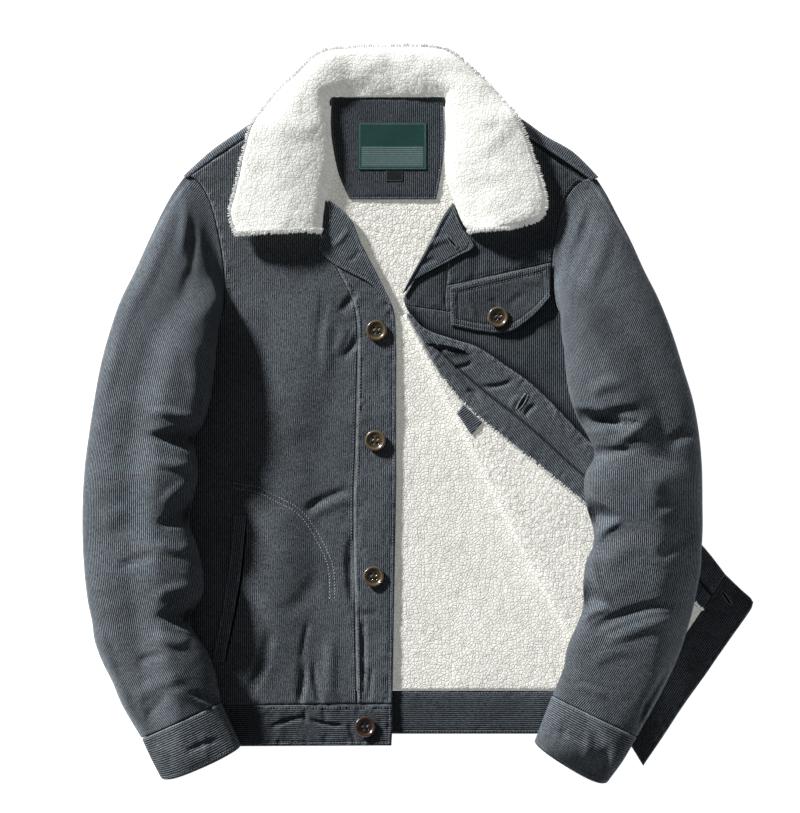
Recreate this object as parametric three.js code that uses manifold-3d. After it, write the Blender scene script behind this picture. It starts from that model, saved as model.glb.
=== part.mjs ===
import * as THREE from 'three';
import Module from 'manifold-3d';

// A sherpa lined corduroy jacket laid flat on its back, in millimetres. Z is up from the surface
// it lies on, Y runs from the hem to the collar, and X runs from the wearer's right sleeve to the
// left one. The wearer's left front is turned back over itself below the chest, so its pile
// lining shows, and its corner comes out again beyond the left sleeve.

const wasm = await Module();
wasm.setup();

// Cloth thicknesses, and the gaps between pieces and between layers.
const GAP = 0.3;
const LAYER_GAP = 0.4;
const SHELL = 2.4;
const PILE = 5.2;
const FRONT = 5;
const BACK_BAND = 6.5;
const TURNED_SHELL = 2.2;
const TURNED_PILE = 4.5;
const TRIM = 2;
const LABEL_THICK = 0.8;
const SIZE_TAB_THICK = 0.6;
const INSIDE_TAB_THICK = 1.5;
const SLEEVE_WALL = 2.6;
const CUFF_WALL = 4;
const COLLAR_WALL = 6;
const COLLAR_TUCKED_WALL = 3;
const LINING_INSET = 42;
const LAPEL_LIFT = 0.7;
const WELT_LIFT = 1;
const WELT_THICK = 1.4;
const FLAP_LIFT = 4;
const FLAP_BUTTON_LIFT = 3.5;

const BUTTON_RADIUS = 11;
const BUTTON_THICK = 3.6;
const BUTTON_HOLE_RADIUS = 1.1;
const BUTTON_HOLE_OUT = 2.3;
const BUTTON_SEGMENTS = 16;

// A sleeve's section: its points, how high its edge stands as a share of its height, how full
// its sides and its top are, and how much more the outer half of the shoulder bows.
const AROUND_SLEEVE = 22;
const SLEEVE_EDGE = 0.34;
const SLEEVE_SIDE_POWER = 0.85;
const SLEEVE_TOP_POWER = 0.8;
const SHOULDER_BOW = 0.35;

// The layers as they lie, from the surface up.
const LINING_UNDER = SHELL + LAYER_GAP;
const LINING_TOP = LINING_UNDER + PILE;
const FRONT_UNDER = LINING_TOP + LAYER_GAP;
const FRONT_TOP = FRONT_UNDER + FRONT;
const SIDE_UNDER = SHELL + GAP;
const SIDE_RAMP = 26;
const TURNED_UNDER = FRONT_TOP + LAYER_GAP;
const TURNED_PILE_UNDER = TURNED_SHELL + GAP;
const TURNED_THICK = TURNED_PILE_UNDER + TURNED_PILE;
const SLEEVE_CLEARANCE = 1.4;
const UNDERARM_Y = 100;
const TURNED_DROP_X = 242;
const TURNED_DROP = 48;
const ARMHOLE_GAP = 1.7;

const CORDUROY = '#4c545e';
const SHERPA = '#ebeae4';
const LABEL = '#1d3f38';
const HORN = '#5b4630';

const { clamp, degToRad, lerp, smoothstep } = THREE.MathUtils;

// Tables have a row for each section or fold and a named column for each size.
function table(names, rows) {
  const columns = names.split(' ');
  return rows.map((row) => Object.fromEntries(columns.map((name, i) => [name, row[i]])));
}

// A smooth row of a table, at a place from 0, the first row, to 1, the last.
function rowAt(rows, place) {
  const spot = clamp(place, 0, 1) * (rows.length - 1);
  const first = Math.min(Math.floor(spot), rows.length - 2);
  const t = spot - first;
  const near = [first - 1, first, first + 1, first + 2].map((i) => rows[clamp(i, 0, rows.length - 1)]);
  const smooth = {};
  for (const name of Object.keys(rows[0])) {
    const [a, b, c, d] = near.map((row) => row[name]);
    smooth[name] = b + 0.5 * t * (c - a + t * (2 * a - 5 * b + 4 * c - d + t * (3 * (b - c) + d - a)));
  }
  return smooth;
}

function spread(from, to, steps) {
  return Array.from({ length: steps + 1 }, (_, i) => lerp(from, to, i / steps));
}

// The back, by its height: its left and right edges, with the armholes below the shoulders.
const BACK = table('y left right', [
  [335, -107, 37],
  [322, -145, 76],
  [308, -173, 105],
  [289, -202, 139],
  [268, -230, 166],
  [251, -244, 182],
  [236, -236, 160],
  [215, -221, 145],
  [192, -210, 141],
  [165, -207, 141],
  [138, -208, 142],
  [114, -214, 147],
  [91, -225, 163],
  [58, -244, 186],
  [16, -256, 204],
  [-37, -262, 218],
  [-89, -265, 228],
  [-152, -262, 233],
  [-215, -257, 234],
  [-257, -251, 233],
  [-290, -244, 232],
]);
const BACK_WAISTBAND = table('y left right', [
  [-290.3, -244, 232],
  [-313, -242, 232],
  [-336, -239, 231],
]);

// The wearer's right front, from the shoulder seam to the waistband: side or armhole edge,
// placket seam and front edge of each section.
const FRONT_RIGHT = table('side_x side_y seam_x seam_y edge_x edge_y', [
  [-242, 252, -140, 321, -128, 329],
  [-231, 236, -126, 292, -115, 300],
  [-219, 218, -123, 258, -110, 266],
  [-211, 198, -122, 226, -104, 232],
  [-205, 178, -110, 202, -81, 212],
  [-203, 154, -98, 176, -65, 186],
  [-204, 129, -84, 149, -50, 158],
  [-209, 106, -71, 123, -37, 132],
  [-228, 85, -66, 100, -27, 108],
  [-245, 54, -65, 68, -25, 74],
  [-256, 14, -66, 24, -25, 27],
  [-262, -37, -67, -28, -25, -26],
  [-265, -89, -69, -80, -25, -79],
  [-262, -144, -69, -136, -26, -135],
  [-258, -196, -68, -193, -27, -193],
  [-252, -249, -67, -249, -28, -250],
  [-245, -306, -66, -304, -29, -304],
]);
const WAISTBAND_RIGHT = table('left_x left_y right_x right_y', [
  [-243, -306.4, -29, -304.4],
  [-240, -328, -29, -326],
  [-238, -349, -30, -348],
]);

// The wearer's left front where it faces up: front edge or turn, placket seam and side edge.
const FRONT_LEFT = table('edge_x edge_y seam_x seam_y side_x side_y', [
  [68, 323, 79, 315, 182, 247],
  [54, 297, 68, 289, 168, 238],
  [48, 266, 62, 259, 156, 227],
  [44, 236, 58, 231, 147, 212],
  [29, 209, 48, 206, 143, 197],
  [16, 184, 38, 183, 142, 183],
  [4, 161, 31, 162, 142, 172],
  [-10, 136, 28, 136, 142, 161],
  [-17, 122, 27, 117, 146, 122],
  [-10, 104, 32, 96, 163, 93],
  [2, 78, 44, 69, 186, 60],
  [18, 45, 60, 38, 204, 16],
  [41, 0, 82, -8, 218, -32],
  [65, -47, 104, -55, 228, -84],
  [92, -100, 128, -107, 234, -136],
  [120, -154, 152, -161, 237, -189],
  [150, -210, 176, -216, 239, -242],
  [180, -264, 200, -269, 239, -289],
  [201, -300, 212, -302, 236, -306],
]);
const YOKE_SECTION = 7;

// The seams between the cut pieces of a front, as shares of its sections and of its columns.
const SEAM_SHARE = 0.003;
const PLACKET_SEAM_SHARE = 0.012;
const YOKE_SEAM_SHARE = 0.001;

// The part of the left front that is turned back: the turn, the inner edge of its facing and
// its front edge, from the foot of the neck opening to the waistband.
const TURNED = table('turn_x turn_y facing_x facing_y edge_x edge_y', [
  [-22, 113, -18, 114, -13, 112],
  [-8, 83, -3, 88, 5, 91],
  [8, 49, 14, 56, 34, 80],
  [27, 13, 33, 26, 61, 71],
  [44, -22, 61, -2, 90, 52],
  [61, -55, 89, -25, 118, 32],
  [79, -90, 121, -50, 147, 4],
  [97, -127, 152, -76, 176, -26],
  [118, -167, 185, -103, 207, -52],
  [140, -208, 218, -132, 239, -81],
  [164, -249, 252, -163, 271, -110],
  [189, -293, 281, -190, 300, -140],
  [212, -333, 297, -205.5, 322, -168],
]);
const WAISTBAND_LEFT = table('turn_x turn_y edge_x edge_y', [
  [212.5, -333.3, 322.5, -168.3],
  [224, -351, 338, -183],
  [235, -369, 354, -197],
]);
const TURN_ROUND = 6;

// A sleeve, from the armhole to the cuff: its outer and inner edges as it lies, how far the
// section bows towards the body, and how high the cloth stands over what it lies on.
const SLEEVE_COLUMNS = 'outer_x outer_y inner_x inner_y bow high';
const SLEEVE_RIGHT = table(SLEEVE_COLUMNS, [
  [-248, 251, -211, 104, 19, 16],
  [-260, 234, -213, 93, 14, 24],
  [-272, 212, -213, 81, 9, 33],
  [-286, 182, -214, 70, 5, 41],
  [-301, 149, -215, 56, 2, 46],
  [-316, 118, -217, 40, 0, 49],
  [-328, 82, -219, 22, 0, 51],
  [-337, 47, -223, 5, 0, 52],
  [-344, 7, -228, -10, 0, 53],
  [-349, -26, -237, -26, 0, 50],
  [-352, -49, -234, -49, 0, 52],
  [-354, -74, -233, -66, 0, 53],
  [-355, -100, -239, -91, 0, 51],
  [-355, -126, -242, -114, 0, 50],
  [-354, -150, -233, -140, 0, 51],
  [-352, -175, -228, -165, 0, 52],
  [-349, -198, -228, -188, 0, 50],
  [-345, -217, -242, -212, 0, 47],
  [-342, -238, -237, -228, 0, 47],
  [-334, -260, -226, -244, 0, 46],
  [-323, -282, -218, -261, 0, 45],
  [-313, -306, -213, -280, 0, 42],
  [-293, -340, -209, -301, 0, 36],
]);
const SLEEVE_LEFT = table(SLEEVE_COLUMNS, [
  [186, 249, 148, 111, 25, 16],
  [196, 233, 151, 97, 18, 24],
  [208, 210, 150, 82, 13, 33],
  [222, 183, 152, 66, 7, 41],
  [236, 152, 153, 48, 3, 46],
  [251, 122, 155, 31, 0, 49],
  [265, 87, 159, 13, 0, 51],
  [277, 49, 166, -5, 0, 52],
  [287, 16, 178, -26, 0, 51],
  [293, -16, 183, -43, 0, 50],
  [296, -45, 174, -60, 0, 52],
  [297, -70, 172, -77, 0, 53],
  [297, -96, 175, -98, 0, 52],
  [297, -119, 182, -121, 0, 50],
  [296, -140, 181, -138, 0, 50],
  [295, -161, 174, -154, 0, 51],
  [291, -184, 171, -177, 0, 51],
  [286, -207, 171, -201, 0, 49],
  [280, -228, 165, -219, 0, 48],
  [272, -252, 155, -242, 0, 47],
  [260, -278, 151, -264, 0, 45],
  [247, -303, 145, -280, 0, 42],
  [228, -337, 139, -294, 0, 36],
]);
const CUFF_RIGHT = table(SLEEVE_COLUMNS, [
  [-292.8, -340.6, -208.8, -301.6, 0, 36],
  [-282, -364, -198, -326, -3, 32],
  [-272, -383, -188, -348, -5, 30],
]);
const CUFF_LEFT = table(SLEEVE_COLUMNS, [
  [227.7, -337.6, 138.7, -294.6, 0, 36],
  [213, -363, 129, -320, -5, 32],
  [197, -387, 120, -344, -6, 30],
]);

// The collar, from the right front end round the neck to the left one: the line where it rises
// out of the neck, its outer edge, and how it falls: 0 on the fronts, 1 down over the shoulder
// line, 2 turned under the back neck.
const COLLAR = table('neck_x neck_y edge_x edge_y fall', [
  [-103, 194, -193, 190, 0],
  [-100, 218, -200, 213, 0],
  [-94, 245, -194, 239, 0],
  [-92, 273, -186, 273, 0],
  [-93, 302, -176, 306, 0],
  [-93, 320, -155, 335, 0.7],
  [-88, 333, -130, 361, 1.2],
  [-76, 336, -106, 381, 1.6],
  [-56, 336, -76, 387, 1.9],
  [-35, 336, -35, 388, 2],
  [-12, 336, 0, 388, 1.9],
  [8, 336, 28, 385, 1.6],
  [20, 333, 53, 367, 1.2],
  [25, 320, 78, 340, 0.7],
  [26, 297, 101, 314, 0],
  [25, 271, 117, 278, 0],
  [27, 247, 127, 247, 0],
  [35, 225, 132, 223, 0],
  [43, 204, 124, 206, 0],
  [50, 194, 94, 198, 0],
]);
const COLLAR_SECTION = table('wing_along wing_high drop_along drop_high back_along back_high', [
  [0, 17, 0, 15, 0, 13],
  [0.04, 26, 0.1, 24, 0.2, 20],
  [0.14, 32, 0.28, 30, 0.45, 25],
  [0.35, 32, 0.5, 30, 0.72, 25],
  [0.58, 28, 0.76, 26, 0.93, 20],
  [0.8, 24, 0.93, 19, 0.99, 10],
  [0.93, 22.4, 0.985, 11, 0.93, 2],
  [0.98, 22, 1, 6, 0.55, 0.4],
  [1, 21.8, 1, 2.5, 0.15, 0.4],
]);

// The back is brought forward over each shoulder: the seam on the front and the fold.
const SHOULDER_RIGHT = table('seam_x seam_y fold_x fold_y', [
  [-237, 256.4, -241, 262],
  [-215, 271.2, -220, 278.6],
  [-184, 292.1, -191, 299],
  [-166, 304.3, -172, 312],
  [-147, 317.2, -151, 325],
]);
const SHOULDER_LEFT = table('seam_x seam_y fold_x fold_y', [
  [175, 252.5, 179, 259],
  [152, 267.7, 158, 275],
  [126, 284.9, 132, 293],
  [105, 298.7, 112, 309],
  [84, 312.6, 90, 322],
]);
const SHOULDER_SECTION = table('along top under', [
  [0, 13.4, 10.4],
  [0.4, 13.2, 10.2],
  [0.75, 11.6, 8.4],
  [0.93, 9, 5.4],
  [1, 6, 2.9],
]);

const LAPEL_RIGHT = table('in_x in_y out_x out_y', [
  [-96, 226, -97, 224],
  [-83, 217, -96, 203],
  [-71, 203, -106, 176],
  [-62, 181, -93, 161],
  [-50, 158, -74, 150],
  [-39, 136, -52, 138],
  [-29, 115, -34, 118],
]);
const LAPEL_LEFT = table('in_x in_y out_x out_y', [
  [34, 223, 36, 222],
  [24, 209, 44, 197],
  [13, 188, 57, 178],
  [2, 167, 40, 167],
  [-8, 149, 17, 155],
  [-14, 137, -2, 145],
  [-19, 127, -14, 131],
]);
const POCKET_FLAP = table('x top bottom', [
  [32, 134, 94],
  [47, 138, 91],
  [63, 142, 88],
  [84, 147, 86],
  [100, 151, 90],
  [121, 156, 106],
  [137, 160, 124],
]);
const NECK_PATCH = table('y left right', [
  [335, -93, 24],
  [304, -94, 25],
  [278, -91, 25],
  [252, -85, 22],
  [227, -74, 17],
]);
const WELT_RIGHT = table('y left right', [
  [-106, -196, -183],
  [-160, -201, -188],
  [-210, -209, -196],
  [-260, -219, -206],
]);

// The button centres, and the height of the cloth under each one.
const BUTTONS = table('x y tilt', [
  [-46, 89, 3],
  [-47, -27, -4],
  [-49, -170, 5],
  [-58, -328, 8],
  [82, 103, 4],
]);

// Folds of the laid cloth: centre, direction in degrees, length, width and height, or depth
// where it is below zero.
const FOLD_COLUMNS = 'x y turn length width high';
const FRONT_RIGHT_FOLDS = table(FOLD_COLUMNS, [
  [-150, -160, 88, 330, 90, 7],
  [-130, 40, 80, 220, 90, 4],
  [-78, -158, 80, 90, 18, -3],
  [-97, -89, 26, 60, 14, -2.5],
  [-125, -276, 86, 55, 14, -2.5],
  [-107, -272, 84, 55, 12, -2],
  [-169, -274, 60, 60, 16, -2.5],
  [-102, 110, 84, 120, 14, -1.5],
]);
const WEDGE_COLUMNS = 'tip_x tip_y mouth_x mouth_y width deep';
const SLEEVE_RIGHT_WEDGES = table(WEDGE_COLUMNS, [
  [-291, -23, -228, -28, 34, 15],
  [-275, -115, -232, -99, 40, 17],
  [-280, -209, -232, -212, 40, 15],
]);
const SLEEVE_LEFT_WEDGES = table(WEDGE_COLUMNS, [
  [236, -12, 176, -5, 30, 13],
  [212, -105, 176, -112, 40, 16],
  [196, -200, 166, -207, 36, 13],
]);

// How high a list of folds lifts the cloth at a place.
function foldHeight(folds, x, y) {
  let high = 0;
  for (const fold of folds) {
    const turn = degToRad(fold.turn);
    const along = ((x - fold.x) * Math.cos(turn) + (y - fold.y) * Math.sin(turn)) / (fold.length / 2);
    const across = ((y - fold.y) * Math.cos(turn) - (x - fold.x) * Math.sin(turn)) / (fold.width / 2);
    if (Math.abs(along) < 1 && Math.abs(across) < 1) {
      high += fold.high * (1 - along ** 2) ** 2 * (1 - across ** 2) ** 2;
    }
  }
  return high;
}

// How deep the wedge folds, closed at the tip and open at the mouth, sink the cloth at a place.
function wedgeDepth(wedges, x, y) {
  let deep = 0;
  for (const wedge of wedges) {
    const way = new THREE.Vector2(wedge.mouth_x - wedge.tip_x, wedge.mouth_y - wedge.tip_y);
    const length = way.length();
    way.normalize();
    const along = ((x - wedge.tip_x) * way.x + (y - wedge.tip_y) * way.y) / length;
    const across = Math.abs((y - wedge.tip_y) * way.x - (x - wedge.tip_x) * way.y);
    const reach = (wedge.width / 2) * lerp(0.35, 1, clamp(along, 0, 1));
    if (along > 0 && across < reach) {
      deep += wedge.deep * smoothstep(along, 0, 0.8) * (1 - (across / reach) ** 2) ** 2;
    }
  }
  return deep;
}

// How far a place lies inside an outline, below zero outside it.
function depthInside(outline, x, y) {
  let nearest = Infinity;
  let inside = false;
  outline.forEach(([ax, ay], i) => {
    const [bx, by] = outline[(i + 1) % outline.length];
    const t = clamp(((x - ax) * (bx - ax) + (y - ay) * (by - ay)) / ((bx - ax) ** 2 + (by - ay) ** 2), 0, 1);
    nearest = Math.min(nearest, Math.hypot(x - lerp(ax, bx, t), y - lerp(ay, by, t)));
    if ((ay > y) !== (by > y) && x < ax + ((y - ay) / (by - ay)) * (bx - ax)) inside = !inside;
  });
  return inside ? nearest : -nearest;
}

const SIDE_ROWS = BACK.filter((row) => row.y < UNDERARM_Y).concat(BACK_WAISTBAND.at(-1));
const RIGHT_HEM = WAISTBAND_RIGHT.at(-1);
const BODY_OUTLINE = [
  [SLEEVE_RIGHT[0].inner_x, SLEEVE_RIGHT[0].inner_y],
  ...SIDE_ROWS.map((row) => [row.left, row.y]),
  [RIGHT_HEM.left_x, RIGHT_HEM.left_y],
  [RIGHT_HEM.right_x, RIGHT_HEM.right_y],
  ...SIDE_ROWS.toReversed().map((row) => [row.right, row.y]),
  [SLEEVE_LEFT[0].inner_x, SLEEVE_LEFT[0].inner_y],
];
const TURNED_OUTLINE = [
  ...TURNED.map((row) => [row.turn_x, row.turn_y]),
  [WAISTBAND_LEFT.at(-1).turn_x, WAISTBAND_LEFT.at(-1).turn_y],
  [WAISTBAND_LEFT.at(-1).edge_x, WAISTBAND_LEFT.at(-1).edge_y],
  ...TURNED.toReversed().map((row) => [row.edge_x, row.edge_y]),
];

// How far a place lies in from the nearer side seam, on a straight line across the body.
function sideDepth(x, y) {
  const next = SIDE_ROWS.findIndex((row) => row.y < y);
  const after = next < 0 ? SIDE_ROWS.length - 1 : Math.max(next, 1);
  const [above, below] = [SIDE_ROWS[after - 1], SIDE_ROWS[after]];
  const t = clamp((above.y - y) / (above.y - below.y), 0, 1);
  return Math.min(x - lerp(above.left, below.left, t), lerp(above.right, below.right, t) - x);
}

// The height that a front lies at: flat over the lining, and down on the back at the side seam.
function flatUnder(x, y) {
  const fromArmhole = smoothstep(y, UNDERARM_Y - 50, UNDERARM_Y);
  const inward = Math.max(smoothstep(sideDepth(x, y), 0, SIDE_RAMP), fromArmhole);
  return lerp(SIDE_UNDER, FRONT_UNDER, inward);
}

function frontUnder(x, y) {
  return flatUnder(x, y) + Math.max(0, foldHeight(FRONT_RIGHT_FOLDS, x, y));
}

// The turned-back part lies on the body and sinks to the surface beyond the side seam.
function turnedUnder(x, y) {
  return lerp(TURNED_UNDER, GAP, smoothstep(x - TURNED_DROP_X, 0, TURNED_DROP));
}

// What the underside of a sleeve lies on, with a clearance.
function sleeveRest(x, y) {
  const onBody = smoothstep(depthInside(BODY_OUTLINE, x, y), -46, -8);
  const onTurned = smoothstep(depthInside(TURNED_OUTLINE, x, y), -46, -12);
  const body = (FRONT_TOP + SLEEVE_CLEARANCE) * onBody;
  const turned = (turnedUnder(x, y) + TURNED_THICK + SLEEVE_CLEARANCE) * onTurned;
  return Math.max(body, turned);
}

// A closed body from an outer and an inner net of points, joined round their borders. A closed
// net wraps round, as a sleeve does. The faces are turned outwards by the sign of the volume.
function shell(outer, inner, closed = false) {
  const rows = outer.length;
  const columns = outer[0].length;
  const points = [...outer.flat(), ...inner.flat()];
  const faces = [];
  const quad = (a, b, c, d) => faces.push([a, b, c], [a, c, d]);
  const outerAt = (i, j) => i * columns + (j % columns);
  const innerAt = (i, j) => rows * columns + outerAt(i, j);
  const lastColumn = closed ? columns : columns - 1;
  for (let i = 0; i < rows - 1; i++) {
    for (let j = 0; j < lastColumn; j++) {
      quad(outerAt(i, j), outerAt(i, j + 1), outerAt(i + 1, j + 1), outerAt(i + 1, j));
      quad(innerAt(i, j), innerAt(i + 1, j), innerAt(i + 1, j + 1), innerAt(i, j + 1));
    }
  }
  for (let j = 0; j < lastColumn; j++) {
    quad(outerAt(0, j), innerAt(0, j), innerAt(0, j + 1), outerAt(0, j + 1));
    quad(outerAt(rows - 1, j), outerAt(rows - 1, j + 1), innerAt(rows - 1, j + 1), innerAt(rows - 1, j));
  }
  for (let i = 0; !closed && i < rows - 1; i++) {
    quad(outerAt(i, 0), outerAt(i + 1, 0), innerAt(i + 1, 0), innerAt(i, 0));
    const next = i + 1;
    quad(outerAt(i, lastColumn), innerAt(i, lastColumn), innerAt(next, lastColumn), outerAt(next, lastColumn));
  }
  return body(points, faces);
}

function body(points, faces) {
  let volume = 0;
  for (const face of faces) {
    const [a, b, c] = face.map((i) => new THREE.Vector3(...points[i]));
    volume += a.dot(b.cross(c));
  }
  const geometry = new THREE.BufferGeometry();
  geometry.setAttribute('position', new THREE.Float32BufferAttribute(points.flat(), 3));
  geometry.setIndex(faces.flatMap((face) => (volume < 0 ? face.toReversed() : face)));
  geometry.computeVertexNormals();
  return geometry;
}

// A flat wall over a net of places: place gives x, y and the height it lies at, and low and
// high give its faces above that height.
function wall(place, sections, across, low, high) {
  const raise = (amount) => sections.map((u) => across.map((v) => {
    const [x, y, z] = place(u, v);
    return [x, y, z + (typeof amount === 'function' ? amount(u, v) : amount)];
  }));
  return shell(raise(high), raise(low));
}

// A place on a row that runs through named points, such as side, seam and edge.
function alongRow(row, names, v, height) {
  const first = Math.min(Math.floor(v), names.length - 2);
  const x = lerp(row[`${names[first]}_x`], row[`${names[first + 1]}_x`], v - first);
  const y = lerp(row[`${names[first]}_y`], row[`${names[first + 1]}_y`], v - first);
  return [x, y, height(x, y)];
}

function between(rows, names, height) {
  return (u, v) => alongRow(rowAt(rows, u), names, v, height);
}

// The way from a sleeve's last section to its first.
function sleeveWay(rows) {
  const [first, last] = [rows[0], rows.at(-1)];
  return new THREE.Vector2(first.outer_x - last.outer_x, first.outer_y - last.outer_y);
}

// Where an armhole's seam runs at a height, or nothing outside the armhole.
function armholeX(rows, y) {
  const seam = sleeveRing(rows[0], 0, [], sleeveWay(rows)).slice(0, AROUND_SLEEVE / 2 + 1);
  for (let i = 1; i < seam.length; i++) {
    const [ax, ay] = seam[i - 1];
    const [bx, by] = seam[i];
    if (ay >= y && by < y) return lerp(ax, bx, (ay - y) / (ay - by));
  }
  return undefined;
}

// The back's rows, drawn in to the seams of both armholes.
function armholeLevel(rows) {
  return (u, v) => {
    const row = rowAt(rows, u);
    const left = Math.max(row.left, (armholeX(SLEEVE_RIGHT, row.y) ?? -Infinity) + ARMHOLE_GAP);
    const right = Math.min(row.right, (armholeX(SLEEVE_LEFT, row.y) ?? Infinity) - ARMHOLE_GAP);
    return [lerp(left, right, v), row.y, 0];
  };
}

// A front's places, with its armhole edge drawn in to the sleeve's seam.
function frontPlace(rows, names, height, sleeveRows, inward) {
  return (u, v) => {
    const row = rowAt(rows, u);
    const seam = armholeX(sleeveRows, row.side_y);
    if (seam !== undefined) {
      row.side_x = inward * Math.max(inward * row.side_x, inward * seam + ARMHOLE_GAP);
    }
    return alongRow(row, names, v, height);
  };
}

function level(rows, height = () => 0) {
  return (u, v) => {
    const row = rowAt(rows, u);
    const x = lerp(row.left, row.right, v);
    return [x, row.y, height(x, row.y)];
  };
}

// One ring of a sleeve, drawn in by an inset for its inner face. Its bow is towards the body.
function sleeveRing(row, inset, wedges, towardsBody) {
  const half = new THREE.Vector2(row.outer_x - row.inner_x, row.outer_y - row.inner_y).multiplyScalar(0.5);
  const middle = new THREE.Vector2(row.outer_x + row.inner_x, row.outer_y + row.inner_y).multiplyScalar(0.5);
  const bowWay = new THREE.Vector2(-half.y, half.x).normalize();
  if (bowWay.dot(towardsBody) < 0) bowWay.negate();
  const edgeHigh = row.high * SLEEVE_EDGE;
  const drawnIn = 1 - inset / half.length();
  return Array.from({ length: AROUND_SLEEVE }, (_, k) => {
    const angle = (2 * Math.PI * k) / AROUND_SLEEVE;
    const side = Math.sign(Math.cos(angle)) * Math.abs(Math.cos(angle)) ** SLEEVE_SIDE_POWER * drawnIn;
    const lift = Math.sin(angle);
    const bow = row.bow * Math.abs(lift) * (1 + SHOULDER_BOW * Math.cos(angle));
    const x = middle.x + half.x * side + bowWay.x * bow;
    const y = middle.y + half.y * side + bowWay.y * bow;
    const rise = (row.high - edgeHigh) * Math.abs(lift) ** SLEEVE_TOP_POWER;
    const top = edgeHigh + rise - inset * Math.abs(lift);
    const under = edgeHigh * (1 - Math.abs(lift)) ** 2 + inset * Math.abs(lift);
    const sunk = lift > 0 ? wedgeDepth(wedges, x, y) * smoothstep(lift, 0, 0.6) : 0;
    return [x, y, sleeveRest(x, y) + (lift >= 0 ? top - sunk : under)];
  });
}

function sleeve(rows, wallThick, wedges) {
  const rings = (inset) => rows.map((row) => sleeveRing(row, inset, wedges, sleeveWay(rows)));
  return shell(rings(0), rings(wallThick), true);
}

// The collar as a wall along its sections, moved in by its thickness across each section.
function collar() {
  const outer = [];
  const inner = [];
  for (const u of spread(0, 1, 38)) {
    const row = rowAt(COLLAR, u);
    const length = Math.hypot(row.edge_x - row.neck_x, row.edge_y - row.neck_y);
    const dropped = clamp(row.fall, 0, 1);
    const tucked = clamp(row.fall - 1, 0, 1);
    const path = spread(0, 1, 11).map((v) => {
      const spot = rowAt(COLLAR_SECTION, v);
      const along = lerp(lerp(spot.wing_along, spot.drop_along, dropped), spot.back_along, tucked);
      return [along * length, lerp(lerp(spot.wing_high, spot.drop_high, dropped), spot.back_high, tucked)];
    });
    const place = ([along, high]) => [
      lerp(row.neck_x, row.edge_x, along / length),
      lerp(row.neck_y, row.edge_y, along / length),
      high,
    ];
    outer.push(path.map(place));
    inner.push(path.map(([along, high], i) => {
      const [ax, az] = path[Math.max(i - 1, 0)];
      const [bx, bz] = path[Math.min(i + 1, path.length - 1)];
      const run = Math.hypot(bx - ax, bz - az);
      const thick = lerp(COLLAR_WALL, COLLAR_TUCKED_WALL, dropped * smoothstep(i, 3, 7));
      return place([along + ((bz - az) / run) * thick, high - ((bx - ax) / run) * thick]);
    }));
  }
  return shell(outer, inner);
}

function manifold(geometry) {
  const vertProperties = new Float32Array(geometry.getAttribute('position').array);
  const triVerts = new Uint32Array(geometry.getIndex().array);
  const mesh = new wasm.Mesh({ numProp: 3, vertProperties, triVerts });
  mesh.merge();
  return new wasm.Manifold(mesh);
}

function geometryOf(solid) {
  const mesh = solid.getMesh();
  const geometry = new THREE.BufferGeometry();
  geometry.setAttribute('position', new THREE.Float32BufferAttribute(Array.from(mesh.vertProperties), 3));
  geometry.setIndex(Array.from(mesh.triVerts));
  geometry.computeVertexNormals();
  return geometry;
}

// A four-hole horn button with a raised rim.
function button() {
  const profile = [
    [0, 0],
    [0.7, 0],
    [0.96, 0.25],
    [1, 0.6],
    [0.93, 1],
    [0.82, 1],
    [0.68, 0.62],
    [0, 0.55],
  ].map(([out, up]) => new THREE.Vector2(out * BUTTON_RADIUS, up * BUTTON_THICK));
  const lathe = new THREE.LatheGeometry(profile, BUTTON_SEGMENTS).rotateX(Math.PI / 2);
  lathe.deleteAttribute('normal');
  lathe.deleteAttribute('uv');
  let solid = manifold(lathe);
  for (const [x, y] of [[1, 1], [-1, 1], [-1, -1], [1, -1]]) {
    const hole = new THREE.CylinderGeometry(BUTTON_HOLE_RADIUS, BUTTON_HOLE_RADIUS, 4 * BUTTON_THICK, 8);
    hole.rotateX(Math.PI / 2);
    hole.translate(BUTTON_HOLE_OUT * x, BUTTON_HOLE_OUT * y, 0);
    hole.deleteAttribute('normal');
    hole.deleteAttribute('uv');
    solid = solid.subtract(manifold(hole));
  }
  return geometryOf(solid);
}

const jacket = new THREE.Group();

function add(name, geometry, color, roughness = 0.95) {
  const mesh = new THREE.Mesh(geometry, new THREE.MeshStandardMaterial({ color, roughness, metalness: 0 }));
  mesh.name = name;
  jacket.add(mesh);
  return mesh;
}

// The back, its lining and the inside of the neck.
add('back', wall(armholeLevel(BACK), spread(0, 1, 30), spread(0, 1, 5), 0, SHELL), CORDUROY);
const liningRows = BACK.map((row) => ({
  y: Math.max(row.y, -289.7),
  left: row.left + LINING_INSET,
  right: row.right - LINING_INSET,
}));
const liningPlace = level(liningRows);
add('back_lining', wall(liningPlace, spread(0, 1, 24), spread(0, 1, 5), LINING_UNDER, LINING_TOP), SHERPA);
const backBand = level(BACK_WAISTBAND);
const backBandTop = (u, v) => {
  const [x, y] = backBand(u, v);
  return Math.min(BACK_BAND, flatUnder(x, y) - 5 * GAP);
};
add('back_waistband', wall(backBand, spread(0, 1, 2), spread(0, 1, 24), 0, backBandTop), CORDUROY);
const patchUnder = LINING_TOP + LAYER_GAP;
const patchTop = patchUnder + TRIM;
add('neck_patch', wall(level(NECK_PATCH), spread(0, 1, 8), spread(0, 1, 6), patchUnder, patchTop), CORDUROY);
const labelRows = table('y left right', [[308, -65, 7], [258, -65, 7]]);
const labelUnder = patchTop + GAP;
add('neck_label', wall(level(labelRows), [0, 1], [0, 1], labelUnder, labelUnder + LABEL_THICK), LABEL);
const sizeRows = table('y left right', [[257, -36, -18], [246, -36, -18]]);
add('size_tab', wall(level(sizeRows), [0, 1], [0, 1], labelUnder, labelUnder + SIZE_TAB_THICK), '#15171a');

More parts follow.
